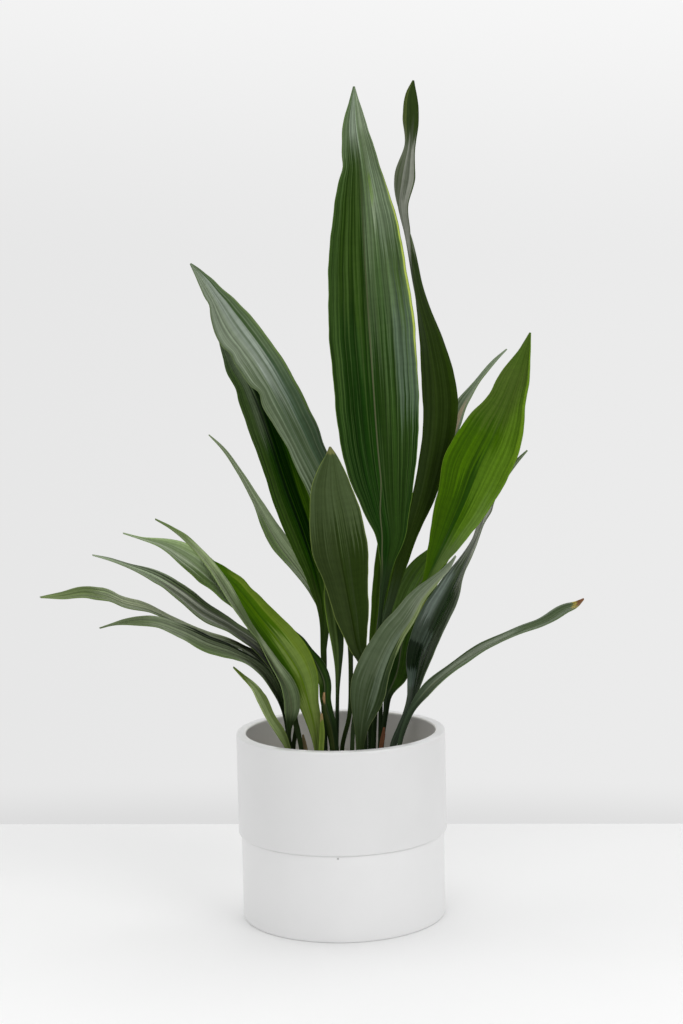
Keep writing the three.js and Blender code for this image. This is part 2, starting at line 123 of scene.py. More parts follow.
# Streaks of a leaf's skin: their width and length in millimetres, their place in the noise and its
# detail. The broad streaks and the thin lines have each leaf's own width, stripe and line_wide.
MIDDLE = (2.1, 190, 7.3, 1.0)
FINE = (1.0, 120, 11.3, 0.0)
CLOUD = (30.0, 80, 13.3, 2.0)
GRAIN = (14.0, 4, 31.3, 2.0)
CORDS = (1.3, 60, 41.3, 1.0)
BROAD_REST = (260, 0.3, 1.0)
THIN_REST = (320, 21.3, 0.0)
STREAK_ROUGH = 0.55
STREAK_EVEN = 0.12
PATCH_FADE = 1.8
BAND_SOFT = 20
STAGGER = 2.6
LINE_SHADE = 0.35
RIB_LEAN_FROM = 0.33
RIB_LEAN_TO = 0.46
PLEAT_BUMP = 0.00025

# Each leaf is described in one place. Lengths are in millimetres.
# Places run along it from the rim of the pot to the tip: [x, z, y, half, turn], which are x and z as
# the viewer sees them against the pot's axis, the true depth y, half the blade's width, and the
# blade's turn about its own line in degrees, where 0 faces the viewer and 180 shows the underside.
# On a blade, u runs from -100 to 100 across it and v from 0 at its foot to 100 at its tip, in percent.
# The functions have u and v as shares of 1.
# Edges are uneven stretches of the margins: [side, v, spread in v, shift], where side is the sign of u
# and a shift above 0 makes the blade wider there.
# Patches are soft areas with ragged, streaky edges, the later ones over the earlier ones:
# [from u, to u, from v, to v, softness in u, softness in v, colour, strength], all of it but the
# colour in percent. Besides the blades' own colour changes, many patches are painted light and
# shade: greyish white highlights and sheen, near-black shadows between leaves, dark creases, and
# darker bands low on many blades where shade falls among the stalks.
# The look names what differs from the plain look. Colours are red, green and blue as seen, 0 to 255,
# and deep and pale are the two colours of the streaks. Much of the difference between the leaves'
# colours is painted light: greyer where a blade's sheen shows, deeper green where it lies in shade,
# and yellower where light shines through it; the slots leaf_grey, leaf_dark and leaf_bright group the
# blades so. The streaks also lighten and darken the colour as painted light and shade of the pleats,
# and a look's light lifts the colour of a whole blade that the lamps leave too dark: painted light.
PLAIN_LOOK = dict(
    deep=(42, 60, 28), pale=(80, 98, 62), contrast=0.8, stripe=4.5, lines=0.4, line_wide=3.6,
    pleat_shade=0.16, veins=0.4, rib=(92, 98, 74), rib_wide=0.7, rib_lean=0.0, margin=(112, 128, 84),
    foot=(46, 58, 40), under=(74, 94, 56), rough=0.42, gloss=0.05, pleat=0.5, bump=1.0, light=1.0,
)
ARCHED_LOOK = dict(foot=(46, 56, 38), bump=0.3, stripe=6)
LEAVES = {}


def leaf(name, slot, waves, places, look, edges=(), patches=()):
    """Keeps what describes a leaf or a sheath, with the plain look where its own says nothing."""
    look = {**PLAIN_LOOK, **look}
    LEAVES[name] = dict(slot=slot, waves=waves, places=places, edges=edges, patches=patches, look=look)


def band(v_from, v_to, soft_v, colour, strength):
    """A patch over the whole width of a blade."""
    return [-100, 100, v_from, v_to, BAND_SOFT, soft_v, colour, strength]


leaf("leaf_tall_front", "leaf_mid", waves=3, places=[
    [29, 149, 4, 2.5, 0], [31, 183, 3, 2.5, 0], [35, 239, 0, 2.5, 5], [40, 288, -2, 2.5, 10],
    [45, 318, -2, 7, 20], [48, 339, -2, 14, 25], [45, 369, 0, 24.5, 22], [41, 411, 2, 34, 15],
    [37, 480, 6, 38, 12], [34, 542, 8, 38, 12], [32, 584, 8, 34, 12], [30, 627, 6, 27, 10],
    [28, 664, 2, 18, 10], [24, 707, -4, 10, 15], [24, 725, -7, 4, 15], [24, 736, -9, 0.8, 15],
], edges=[
    [1, 89.3, 1.2, -2.2], [-1, 83, 4, 1.5], [-1, 60, 9, 2.2], [1, 43, 4, -1.5], [1, 53, 5, -1],
    [-1, 46, 4, -1.5],
], patches=[
    # Painted here: greyish white sheen and highlights on the right half and near the tip, and painted shade
    # low on the blade and left of its middle.
    [15, 80, 30, 68, 20, 10, (34, 56, 17), 65], [20, 70, 72, 82, 20, 4, (58, 78, 36), 50],
    [80, 100, 50, 80, 10, 6, (54, 76, 38), 50], [-60, -10, 68, 86, 25, 8, (104, 120, 92), 65],
    [-30, 15, 54, 72, 15, 5, (44, 64, 27), 50], [-95, -30, 50, 70, 20, 10, (66, 88, 52), 60],
    band(20, 46, 14, (36, 58, 18), 85), [-75, -20, 34, 54, 20, 8, (54, 74, 38), 60],
    [-90, -60, 60, 70, 15, 5, (106, 122, 106), 50], band(93, 100, 3, (112, 128, 100), 70),
    [-100, -40, 84, 98, 20, 3, (148, 162, 136), 65], [-100, -60, 72, 84, 20, 4, (92, 114, 70), 50],
    [-5, 35, 93, 97.5, 20, 2, (150, 162, 146), 60], [0, 60, 86, 91.5, 20, 2, (58, 76, 40), 60],
    [-100, -30, 88, 92, 20, 2, (66, 86, 44), 50], [-80, -50, 80, 87, 15, 3, (130, 146, 122), 50],
    [80, 100, 50, 95, 12, 10, (62, 82, 46), 40], [-100, -97.5, 70, 83, 5, 5, (164, 178, 84), 95],
    [-42, -34, 85, 87, 5, 1, (104, 136, 44), 45],
], look=dict(
    pleat=0.8, contrast=0.9, rib_lean=0.7, deep=(42, 62, 24), pale=(76, 98, 56), rib=(92, 96, 72),
    margin=(96, 122, 56), stripe=5, gloss=0.03, under=(96, 118, 70), pleat_shade=0.22,
))
leaf("leaf_tall_twisted", "leaf_dark", waves=4, places=[
    [22, 149, 22, 2, 0], [24, 193, 22, 2, 10], [33, 239, 22, 2.5, 20], [48, 285, 24, 4.5, 35],
    [57, 315, 27, 8, 48], [69, 346, 32, 12, 52], [83, 389, 40, 19.5, 52], [94, 452, 52, 26.5, 55],
    [89, 510, 60, 24, 63], [78, 560, 62, 21, 76], [70, 609, 58, 19, 92], [65, 631, 54, 17.5, 108],
    [67, 656, 50, 16.5, 125], [73, 686, 44, 11.5, 114], [74, 710, 38, 11, 130], [74, 727, 34, 7, 135],
    [76, 740, 30, 0.8, 140],
], edges=[
    [1, 64, 8, -2], [-1, 60, 5, 2.6], [1, 87, 2, 1.5], [1, 95, 2, -1.4], [-1, 78, 2, -1.4],
    [-1, 36.5, 3, -2.8],
], patches=[
    # Painted here: pale grey sheen across the blade high up, where it twists.
    band(79, 90, 2, (116, 122, 104), 85), [10, 80, 78, 91, 15, 2, (166, 168, 158), 70],
    [-95, -45, 80, 88, 12, 2, (72, 86, 54), 80], [-10, 5, 80, 92, 6, 3, (92, 102, 78), 70],
    band(93.5, 100, 2, (58, 72, 42), 90), [-100, -55, 93, 100, 20, 1, (98, 110, 62), 75],
    [-100, -80, 30, 56, 15, 10, (50, 68, 28), 50], [28, 50, 86, 93, 8, 2, (78, 86, 68), 70],
    [-30, -22, 76, 90, 5, 3, (88, 96, 76), 50], [-100, -65, 83, 92, 10, 2, (118, 124, 104), 60],
], look=dict(
    deep=(42, 54, 29), pale=(52, 65, 37), rib=(52, 64, 36), under=(66, 78, 52), margin=(60, 76, 34),
    lines=0.15, contrast=0.6, gloss=0.015, rough=0.55, pleat_shade=0.1, pleat=0.35, foot=(60, 72, 52),
    veins=0.15,
))
leaf("leaf_right_bright", "leaf_bright", waves=3, places=[
    [48, 149, 16, 2, 0], [62, 192, 16, 2.5, 0], [66, 238, 16, 2.5, 0], [71, 277, 18, 2.5, -8],
    [81, 303, 20, 4.5, -12], [97, 336, 22, 15, -12], [112, 367, 24, 23, -12], [125, 399, 28, 31, -14],
    [141, 431, 32, 28.5, -16], [156, 465, 36, 17, -22], [166, 491, 38, 10.5, -28], [175, 519, 38, 0.8, -30],
], edges=[
    [1, 90, 4, 2.6], [-1, 95, 3, -1.2], [1, 58, 5, 2], [1, 70, 2, 1], [1, 80, 3, 1.6], [1, 96, 2, -1],
    [1, 50, 2, 1],
], patches=[
    # Painted here: a dark crease of shade down the middle, and paler yellow-green light along its lower right
    # half.
    band(90, 100, 5, (84, 104, 50), 75), band(82, 90, 3, (82, 100, 48), 65),
    [-100, -20, 66, 72, 40, 4, (96, 128, 46), 60], [10, 60, 50, 62, 20, 6, (50, 76, 8), 70],
    [-2, 10, 42, 68, 6, 4, (34, 56, 6), 70], [55, 100, 44, 64, 20, 6, (62, 88, 26), 60],
    [-100, -40, 48, 80, 25, 6, (92, 124, 42), 75], [-100, -70, 46, 60, 20, 5, (104, 130, 66), 60],
    [-100, -88, 80, 95, 10, 5, (108, 140, 44), 80], [-100, 0, 36, 50, 20, 5, (88, 104, 66), 70],
], look=dict(
    deep=(60, 90, 4), pale=(78, 112, 12), rib=(44, 72, 8), rib_wide=1, margin=(104, 132, 48),
    foot=(56, 76, 24), under=(92, 122, 30), contrast=0.5, pleat_shade=0.08, lines=0.25, gloss=0.03, pleat=0.25,
    veins=0.2,
))
leaf("leaf_right_sliver", "leaf_grey", waves=2, places=[
    [35, 149, 40, 2, 0], [37, 202, 48, 2, 0], [39, 247, 56, 2, -10], [50, 292, 62, 2.5, -30],
    [66, 336, 70, 5.5, -50], [83, 380, 80, 9, -62], [98, 421, 90, 12.5, -66], [111, 456, 100, 13.5, -68],
    [127, 477, 108, 8.5, -72], [144, 496, 112, 4, -70], [154, 505, 114, 0.8, -70],
], edges=[
    [-1, 79, 4, 6], [1, 91, 5, -3], [-1, 91, 3, -3.2],
], patches=[
    [-70, -10, 77.5, 81.5, 20, 3, (150, 134, 104), 80], band(90, 100, 4, (124, 138, 112), 70),
], look=dict(
    deep=(84, 100, 74), pale=(112, 126, 100), under=(92, 106, 80), bump=0.2,
))
leaf("leaf_right_back", "leaf_mid", waves=2, places=[
    [36, 149, 12, 2.5, 0], [41, 182, 15, 2.5, -5], [43, 197, 19, 4, -15], [50, 216, 26, 12, -25],
    [56, 249, 35, 17.5, -25], [65, 284, 43, 21, -25], [73, 301, 48, 20, -30], [86, 320, 54, 15, -35],
    [99, 332, 58, 10, -45], [113, 346, 62, 5.5, -50], [125, 359, 64, 0.8, -50],
], edges=[
    [1, 80, 5, -1.2],
], patches=[
    # Painted here: dark shade low on the blade.
    band(20, 50, 6, (32, 48, 20), 85), [20, 100, 58, 84, 30, 6, (82, 104, 58), 70],
    [-100, -10, 30, 50, 20, 6, (52, 76, 26), 70], [-80, -40, 58, 64, 20, 2, (130, 140, 66), 60],
    band(76, 100, 4, (68, 94, 34), 70),
], look=dict(
    deep=(46, 68, 22), pale=(66, 86, 38), under=(80, 104, 44), gloss=0.08, pleat_shade=0.2, light=1.3,
))
leaf("leaf_right_dark", "leaf_dark", waves=2, places=[
    [47, 151, -2, 3, 0], [55, 169, -4, 3.5, -10], [63, 189, -6, 3.5, -20], [67, 210, -7, 8, -35],
    [71, 232, -7, 14.5, -40], [83, 260, -6, 18, -40], [97, 287, 2, 16.5, -45], [107, 307, 11, 15.5, -56],
    [117, 325, 22, 12, -66], [123, 337, 30, 10.5, -73], [132, 360, 44, 9, -68], [146, 386, 52, 5.5, -64],
    [160, 404, 57, 3.5, -60], [171, 415, 60, 0.8, -60],
], edges=[
    [-1, 61, 5, -3.6], [-1, 79, 3, 5], [-1, 46, 5, -3],
], patches=[
    # Painted here: pale grey sheen and light over the upper blade and in streaks lower down, and a dark
    # crease of shade across it.
    band(68, 92, 3, (172, 176, 152), 85), [-100, -35, 58, 92, 12, 3, (170, 174, 152), 85],
    [-20, 100, 59, 70, 15, 3, (74, 88, 62), 80], [30, 95, 41, 60, 15, 1.5, (74, 86, 76), 60],
    [40, 75, 50, 59, 12, 3, (120, 132, 124), 60], [-25, 20, 46, 56, 10, 3, (42, 56, 36), 80],
    [-90, -35, 42, 60, 15, 4, (66, 76, 58), 70], [-100, -85, 50, 70, 10, 4, (112, 120, 104), 60],
    [-20, 25, 40, 43, 15, 1.2, (88, 102, 90), 60], [0, 100, 33.5, 39.5, 10, 0.6, (24, 40, 26), 80],
    [0, 90, 30, 32.2, 15, 1.2, (92, 106, 98), 70], band(92, 100, 2, (104, 126, 74), 80),
], look=dict(
    deep=(34, 46, 30), pale=(66, 76, 60), rib=(44, 56, 42), under=(96, 106, 84), gloss=0.3, rough=0.28,
    bump=0.4, margin=(90, 104, 74), foot=(60, 70, 58),
))
leaf("leaf_front_right", "leaf_grey", waves=2, places=[
    [17, 150, -20, 3.5, 0], [19, 170, -22, 7, -5], [22, 189, -26, 14, -15], [26, 206, -30, 17, -22],
    [33, 226, -36, 16, -28], [46, 251, -44, 14.5, -32], [59, 268, -52, 12.5, -36], [73, 288, -60, 9, -44],
    [89, 303, -68, 5, -52], [99, 312, -72, 3, -50], [106, 322, -76, 0.8, -50],
], edges=[
    [-1, 88, 4, 1.5], [1, 95, 2.5, 3],
], patches=[
    [-100, 10, 78, 100, 30, 5, (122, 130, 112), 70], [-100, -70, 56, 85, 12, 6, (128, 142, 86), 60],
    [-100, -65, 34, 58, 12, 5, (34, 48, 20), 90], band(10, 40, 6, (52, 64, 42), 85),
    [-50, -20, 40, 60, 10, 6, (98, 110, 92), 60], [20, 100, 40, 60, 20, 6, (72, 84, 62), 60],
], look=dict(
    deep=(76, 88, 64), pale=(106, 116, 98), foot=(56, 68, 44), under=(96, 110, 80), rib=(86, 98, 74),
    margin=(110, 122, 84), pleat=0.2, pleat_shade=0.08, lines=0.1, contrast=0.4, line_wide=1.8, veins=0.1,
    light=1.3,
))
leaf("leaf_left_grey", "leaf_grey", waves=3, places=[
    [1, 150, 4, 2, 0], [8, 179, 3, 2, 5], [10, 212, 2, 2, 8], [10, 248, 2, 2.5, 15], [6, 286, 2, 4.5, 30],
    [2, 328, 4, 12, 42], [-10, 388, 8, 22, 46], [-27, 425, 10, 24, 46], [-46, 466, 12, 26, 46],
    [-65, 500, 12, 27, 48], [-88, 533, 10, 26, 50], [-102, 557, 6, 16.5, 52], [-114, 575, 2, 9, 55],
    [-123, 586, 0, 0.8, 55],
], edges=[
    [-1, 87, 3, 2.4], [-1, 74, 3, -1.2], [-1, 65, 3, 3], [-1, 97, 1.5, -1.2], [1, 92.5, 1.2, -2.6],
    [1, 83.5, 1.4, -4.6], [1, 74.7, 1.5, -5.5], [1, 64, 2, -1.8], [-1, 91, 1.5, 2],
], patches=[
    # Painted here: a whitish highlight right of the middle, broken by dark streaks, pale sheen high on the
    # left half, and painted shade low down.
    [-50, -10, 72, 93, 15, 5, (158, 168, 158), 80], [-66, -58, 76, 95, 6, 4, (58, 80, 44), 90],
    [-84, -74, 76, 93, 6, 4, (60, 82, 44), 90], [-32, -27, 62, 86, 5, 4, (80, 96, 70), 80],
    [-100, 20, 50, 68, 20, 6, (68, 84, 60), 80], [-100, -40, 60, 75, 15, 4, (66, 86, 68), 60],
    [70, 100, 72, 80, 20, 4, (80, 92, 66), 50], [0, 80, 82, 96, 30, 4, (128, 138, 120), 60],
    [-82, -68, 78, 94, 5, 4, (104, 120, 94), 60], [-100, -90, 70, 97, 6, 5, (92, 114, 62), 80],
    band(20, 50, 6, (50, 64, 38), 80),
], look=dict(
    deep=(86, 100, 74), pale=(116, 129, 106), under=(104, 118, 90), rib=(104, 117, 98), lines=0.3,
    margin=(108, 124, 84), pleat_shade=0.14, contrast=0.7, pleat=0.3, foot=(50, 62, 38), bump=0.5, light=1.15,
))
leaf("leaf_left_dark", "leaf_dark", waves=3, places=[
    [-6, 150, 16, 2, 0], [-14, 194, 18, 2, 5], [-14, 235, 20, 2.5, 15], [-12, 269, 24, 6, 30],
    [-15, 303, 30, 14.5, 40], [-25, 345, 38, 24.5, 42], [-39, 389, 46, 29, 44], [-53, 435, 52, 28.5, 45],
    [-67, 474, 56, 26.5, 46], [-84, 503, 58, 20.5, 48], [-93, 518, 58, 11, 50], [-100, 533, 58, 0.8, 50],
], edges=[
    [1, 87, 2.5, -2.8], [1, 62, 6, 1.2], [1, 96, 2, 1],
], patches=[
    # Painted here: deep shade down the middle, where a leaf above shades it, and greyish sheen high on the
    # left half.
    [10, 100, 79, 96, 30, 5, (108, 120, 96), 80], [-30, 10, 50, 82, 12, 5, (20, 38, 4), 80],
    [60, 100, 42, 88, 20, 5, (72, 96, 44), 75], [-80, -40, 40, 62, 10, 6, (70, 98, 34), 70],
    band(20, 36, 6, (80, 100, 52), 80),
], look=dict(
    deep=(30, 58, 4), pale=(50, 80, 18), under=(46, 72, 20), rib=(52, 80, 26), gloss=0.01, pleat_shade=0.22,
    margin=(64, 90, 34), foot=(58, 74, 42), lines=0.6,
))
leaf("leaf_front_centre", "leaf_dark", waves=2, places=[
    [10, 150, -8, 2, 180], [13, 180, -8, 2, 180], [19, 202, -9, 2, 180], [21, 229, -11, 4.5, 178],
    [17, 242, -14, 8, 176], [13, 267, -20, 14.5, 174], [8, 299, -28, 19, 172], [4, 324, -35, 24.5, 172],
    [0, 356, -44, 23, 172], [-3, 383, -51, 18.5, 170], [-3, 404, -56, 10.5, 168], [-3, 414, -58, 5, 168],
    [-4, 422, -60, 0.8, 168],
], patches=[
    band(20, 66, 12, (46, 58, 33), 95), [-100, -10, 45, 70, 20, 8, (60, 70, 46), 60],
    band(98.8, 100, 0.8, (136, 134, 84), 50),
], look=dict(
    deep=(60, 72, 44), pale=(74, 86, 60), under=(66, 78, 52), margin=(126, 142, 78), rib=(42, 52, 30),
    contrast=0.45, lines=0.15, gloss=0.02, pleat_shade=0.07, pleat=0.2, foot=(62, 76, 52), veins=0.1, light=1.15,
))
leaf("leaf_small_centre", "leaf_mid", waves=2, places=[
    [-4, 150, -4, 1.8, 0], [-3, 176, -4, 1.8, 0], [-2, 203, -3, 1.8, 5], [-1, 222, 0, 3, 15],
    [-1, 242, 5, 5.5, 20], [-3, 264, 11, 7.5, 25], [-6, 287, 18, 7, 30], [-8, 305, 22, 4, 35],
    [-10, 315, 25, 0.8, 35],
], patches=[
    [-100, -30, 50, 90, 20, 8, (28, 42, 20), 75], [10, 100, 50, 90, 20, 8, (84, 104, 58), 50],
], look=dict(
    deep=(62, 80, 38), pale=(84, 100, 62), under=(60, 80, 30), margin=(110, 140, 50), rib=(96, 116, 68),
    gloss=0.06,
))
leaf("leaf_small_dark", "leaf_dark", waves=1, places=[
    [-4, 150, -14, 2, 0], [-8, 172, -15, 4, 15], [-13, 195, -11, 5.5, 30], [-13, 211, -6, 7, 38],
    [-19, 227, -2, 8, 45], [-27, 240, 2, 7, 60], [-33, 250, 5, 5, 65], [-40, 258, 8, 0.8, 65],
], patches=[
    [40, 100, 70, 95, 20, 5, (80, 96, 54), 70],
], look=dict(
    deep=(26, 42, 16), pale=(48, 68, 32), under=(50, 76, 22), margin=(84, 112, 34), gloss=0.06,
))
leaf("leaf_left_bright", "leaf_bright", waves=2, places=[
    [-21, 150, -20, 3.5, 0], [-23, 167, -22, 5.5, 10], [-27, 189, -24, 9.5, 25], [-34, 218, -27, 17.5, 28],
    [-49, 244, -31, 17.5, 28], [-70, 272, -36, 13.5, 30], [-90, 299, -40, 11.5, 36],
    [-107, 315, -43, 6, 42], [-119, 328, -45, 0.8, 42],
], edges=[
    [-1, 93, 3, 2.8], [-1, 80, 3, -2.2], [-1, 70, 3, 1], [1, 73, 4, -2.5],
], patches=[
    [-100, 10, 34, 56, 40, 8, (110, 128, 68), 80], [10, 90, 30, 42, 30, 5, (78, 98, 34), 70],
    [50, 100, 42, 66, 20, 8, (44, 64, 0), 70], [-100, -60, 50, 84, 20, 5, (104, 124, 48), 80],
    band(10, 34, 5, (108, 124, 66), 90),
], look=dict(
    deep=(52, 80, 0), pale=(70, 98, 6), foot=(108, 124, 66), rib=(84, 110, 26), margin=(100, 124, 38),
    under=(92, 118, 36), contrast=0.35, pleat_shade=0.06, lines=0.1, veins=0.2, gloss=0.03, pleat=0.25,
    light=1.1,
))
leaf("leaf_right_low", "leaf_grey", waves=3, places=[
    [53, 153, -20, 2, 0], [57, 167, -21, 2.5, -10], [64, 183, -22, 3, -25], [78, 202, -24, 6.5, -42],
    [99, 220, -28, 7.5, -58], [120, 234, -32, 9.5, -66], [144, 246, -37, 8, -68], [165, 255, -42, 8.5, -66],
    [187, 263, -47, 10, -62], [204, 273, -51, 8.5, -64], [213, 276, -53, 6, -66], [220, 281, -55, 0.8, -66],
], edges=[
    [1, 66, 10, 2.4], [-1, 86, 5, -2.8], [-1, 62, 6, -2], [-1, 40, 7, 1.6], [1, 76, 4, 1.4],
    [1, 87, 3, 1.4],
], patches=[
    [75, 100, 38, 62, 15, 6, (66, 80, 50), 75], [0, 60, 42, 66, 20, 6, (124, 132, 116), 70],
    [0, 60, 78, 93, 20, 3, (66, 80, 52), 70], [-100, -50, 40, 90, 20, 5, (98, 112, 88), 50],
    band(96.2, 100, 0.8, (166, 148, 70), 85), band(97.5, 100, 0.6, (112, 74, 56), 100),
    band(10, 36, 8, (62, 72, 56), 70),
], look=dict(
    deep=(80, 92, 72), pale=(112, 122, 104), under=(90, 106, 74), margin=(104, 120, 84), foot=(62, 74, 58),
    bump=0.15, light=1.3,
))
leaf("leaf_left_front", "leaf_grey", waves=3, places=[
    [-47, 156, -28, 2, 0], [-46, 171, -31, 2.5, 15], [-43, 186, -36, 8, 32], [-45, 204, -44, 9.5, 45],
    [-58, 229, -52, 8.5, 64], [-77, 260, -64, 9, 70], [-93, 287, -74, 10, 62], [-112, 318, -82, 7.5, 66],
    [-130, 339.5, -88, 7, 68], [-147, 353, -93, 3.5, 68], [-161, 361, -97, 0.8, 68],
], edges=[
    [-1, 90, 3, 3], [-1, 81, 3, 1.4], [1, 54, 4, -8],
], patches=[
    # Painted here: a near-black shadow between leaves across the lower half, low on the blade.
    band(80, 90, 4, (122, 136, 98), 70), band(90, 100, 3, (80, 98, 52), 80),
    band(50, 62, 5, (66, 79, 51), 75), [20, 100, 38, 49, 15, 4, (12, 16, 8), 85],
    [-100, -30, 40, 50, 15, 4, (118, 128, 103), 75], band(10, 36, 6, (74, 87, 62), 75),
], look=dict(
    ARCHED_LOOK, deep=(82, 94, 66), pale=(110, 120, 94), under=(92, 108, 70), margin=(114, 132, 84),
    pleat=0.35, line_wide=3, pleat_shade=0.2, light=1.35,
))
leaf("leaf_left_second", "leaf_grey", waves=2, places=[
    [-43, 151, -10, 2, 0], [-40, 172, -11, 2, 0], [-44, 195, -14, 2, 10], [-53, 222, -18, 4, 35],
    [-72, 255, -22, 8, 50], [-84, 276, -28, 11, 54], [-107, 304, -41, 17, 54], [-135, 328, -56, 17, 54],
    [-155, 339, -66, 10, 62], [-174, 344, -72, 3.5, 70], [-190, 349, -78, 0.8, 70],
], edges=[
    [1, 60, 5, -3.5], [1, 70, 4, -4], [1, 78.5, 3, -2], [1, 86, 3, 1],
], patches=[
    [30, 100, 56, 78, 20, 4, (72, 93, 42), 85], [-100, -60, 78, 95, 20, 5, (134, 154, 106), 70],
    [0, 60, 82, 94, 20, 5, (150, 160, 138), 50], [-100, -50, 58, 68, 20, 4, (76, 104, 38), 70],
], look=dict(
    ARCHED_LOOK, deep=(92, 110, 70), pale=(130, 144, 114), under=(98, 122, 66), margin=(118, 142, 76),
    pleat=0.3, line_wide=3, pleat_shade=0.22, light=1.25,
))
leaf("leaf_left_third", "leaf_grey", waves=3, places=[
    [-36, 151, -22, 2, 0], [-40, 172, -22, 2.5, 10], [-47, 193, -24, 3, 30], [-56, 219, -30, 5, 48],
    [-69, 242, -40, 9.5, 60], [-94, 262, -56, 12.5, 64], [-119, 277.5, -72, 16, 64],
    [-141, 295, -86, 14, 64], [-165, 311, -98, 11.5, 68], [-186, 320, -108, 7.5, 74],
    [-203, 326, -116, 5, 74], [-218, 330, -122, 0.8, 74],
], edges=[
    [-1, 60, 7, 3.2], [1, 80, 3, -3.6], [1, 67, 5, 3],
], patches=[
    # Painted here: a near-black shadow between leaves across the lower half, low on the blade.
    [-100, -60, 50, 82, 20, 5, (70, 84, 52), 75], band(84, 100, 5, (104, 118, 92), 70),
    [60, 100, 60, 80, 15, 5, (92, 106, 72), 60], [20, 100, 36, 50, 20, 4, (28, 31, 27), 85],
    band(10, 36, 6, (64, 74, 54), 70),
], look=dict(
    ARCHED_LOOK, deep=(74, 80, 66), pale=(116, 119, 108), under=(88, 98, 72), margin=(92, 106, 68),
    lines=0.9, pleat=0.4, line_wide=3.4, pleat_shade=0.34, contrast=1.4, light=1.5,
))
leaf("leaf_left_long", "leaf_grey", waves=3, places=[
    [-46, 151, 0, 2, 0], [-48, 173, -2, 2, 10], [-52, 197, -4, 3, 30], [-67, 228, -10, 7.5, 60],
    [-86, 245, -20, 10, 70], [-116, 256, -38, 11, 76], [-145, 269.5, -58, 10.5, 76],
    [-171, 281.5, -80, 11, 74], [-191, 287, -99, 11.5, 70], [-208, 294, -115, 11, 64],
    [-226, 297, -129, 9.5, 58], [-247, 294, -144, 6.5, 60], [-266, 293, -158, 0.8, 64],
], edges=[
    [-1, 69, 8, 3], [-1, 42, 4, -9], [1, 81, 4, -4],
], patches=[
    # Painted here: a near-black shadow along the upper half near the foot, with a pale whitish strip of light
    # above it.
    band(86, 100, 6, (92, 108, 62), 80), band(70, 80, 4, (134, 146, 114), 60),
    [-100, -20, 46, 72, 20, 6, (138, 146, 116), 80], [0, 100, 46, 58, 20, 4, (82, 94, 60), 75],
    [-40, 100, 36, 46, 20, 4, (84, 90, 76), 70], [-100, -20, 30, 40, 15, 4, (16, 18, 14), 90],
], look=dict(
    ARCHED_LOOK, deep=(88, 98, 70), pale=(120, 130, 104), under=(98, 112, 74), margin=(114, 130, 84),
    pleat=0.4, pleat_shade=0.24, lines=0.6, light=1.25,
))
leaf("leaf_left_low", "leaf_grey", waves=2, places=[
    [-48, 151, -14, 2, 0], [-48, 169, -16, 2, 10], [-53, 195, -21, 3.5, 30], [-61, 213, -29, 7.5, 50],
    [-78, 231, -41, 10, 60], [-95, 240, -53, 12, 62], [-117, 248, -69, 13, 60], [-141, 260, -87, 11, 60],
    [-166, 269, -101, 10.5, 60], [-192, 269, -112, 6.5, 66], [-203, 267, -116, 3, 72],
    [-214, 264, -121, 0.8, 72],
], edges=[
    [1, 82, 5, -2.8], [1, 60, 4, 1.4], [-1, 51, 5, -3.2],
], patches=[
    # Painted here: a dark shadow along the upper margin, under the leaf above it.
    band(88, 100, 5, (92, 105, 72), 70), band(70, 80, 5, (126, 136, 112), 60),
    [20, 100, 58, 69, 20, 4, (82, 101, 56), 80], [-100, -70, 42, 68, 12, 4, (30, 36, 20), 90],
    band(10, 38, 6, (58, 70, 48), 75),
], look=dict(
    ARCHED_LOOK, deep=(88, 100, 72), pale=(124, 134, 110), under=(88, 108, 62), margin=(96, 114, 68),
    pleat=0.4, pleat_shade=0.24, lines=0.6, light=1.4,
))
leaf("leaf_front_short", "leaf_bright", waves=1, places=[
    [-48, 151, -38, 2.5, 0], [-53, 163, -41, 4, 12], [-63, 180, -46, 4.5, 28], [-70, 196, -52, 5.5, 36],
    [-77, 208, -57, 5, 50], [-87, 218, -61, 3, 60], [-95, 226, -64, 0.8, 60],
], patches=[
    [-100, -45, 40, 76, 20, 5, (70, 82, 40), 75], band(92, 100, 4, (74, 88, 34), 90),
], look=dict(
    deep=(98, 114, 68), pale=(126, 140, 98), foot=(96, 110, 66), under=(110, 126, 70),
    margin=(138, 154, 84), bump=0.3, pleat=0.4, light=1.3,
))
leaf("leaf_left_narrow", "leaf_grey", waves=2, places=[
    [-14, 150, 34, 2, 0], [-14, 194, 36, 2, 5], [-13, 235, 40, 2, 15], [-16, 280, 52, 3.5, 35],
    [-30, 308, 66, 10.5, 52], [-50.5, 338, 82, 13.8, 54], [-69, 373, 98, 11.5, 64], [-84, 401, 108, 9, 72],
    [-100, 424, 116, 6.5, 76], [-111, 435, 120, 0.8, 76],
], edges=[
    [1, 79, 6, -4], [1, 48, 5, -3],
], patches=[
    [25, 100, 56, 71, 20, 4, (82, 104, 52), 85], [30, 100, 48, 56, 20, 3, (138, 146, 126), 60],
    band(20, 46, 4, (46, 60, 32), 85),
], look=dict(
    deep=(98, 112, 78), pale=(134, 146, 118), under=(100, 116, 76), margin=(108, 128, 78), bump=0.15,
    pleat=0.6, light=1.4, lines=0.6, line_wide=2,
))
leaf("leaf_back_small", "leaf_mid", waves=1, places=[
    [26, 149, 46, 2, 0], [27, 193, 48, 2, 0], [29, 230, 50, 2.5, -10], [33, 255, 54, 6, -25],
    [38, 288, 60, 9, -30], [42, 324, 68, 9, -30], [44, 347, 72, 6, -30], [46, 366, 75, 0.8, -30],
], edges=[
    [-1, 78, 4, 4],
], look=dict(
    deep=(44, 68, 14), pale=(72, 96, 36), gloss=0.06,
))
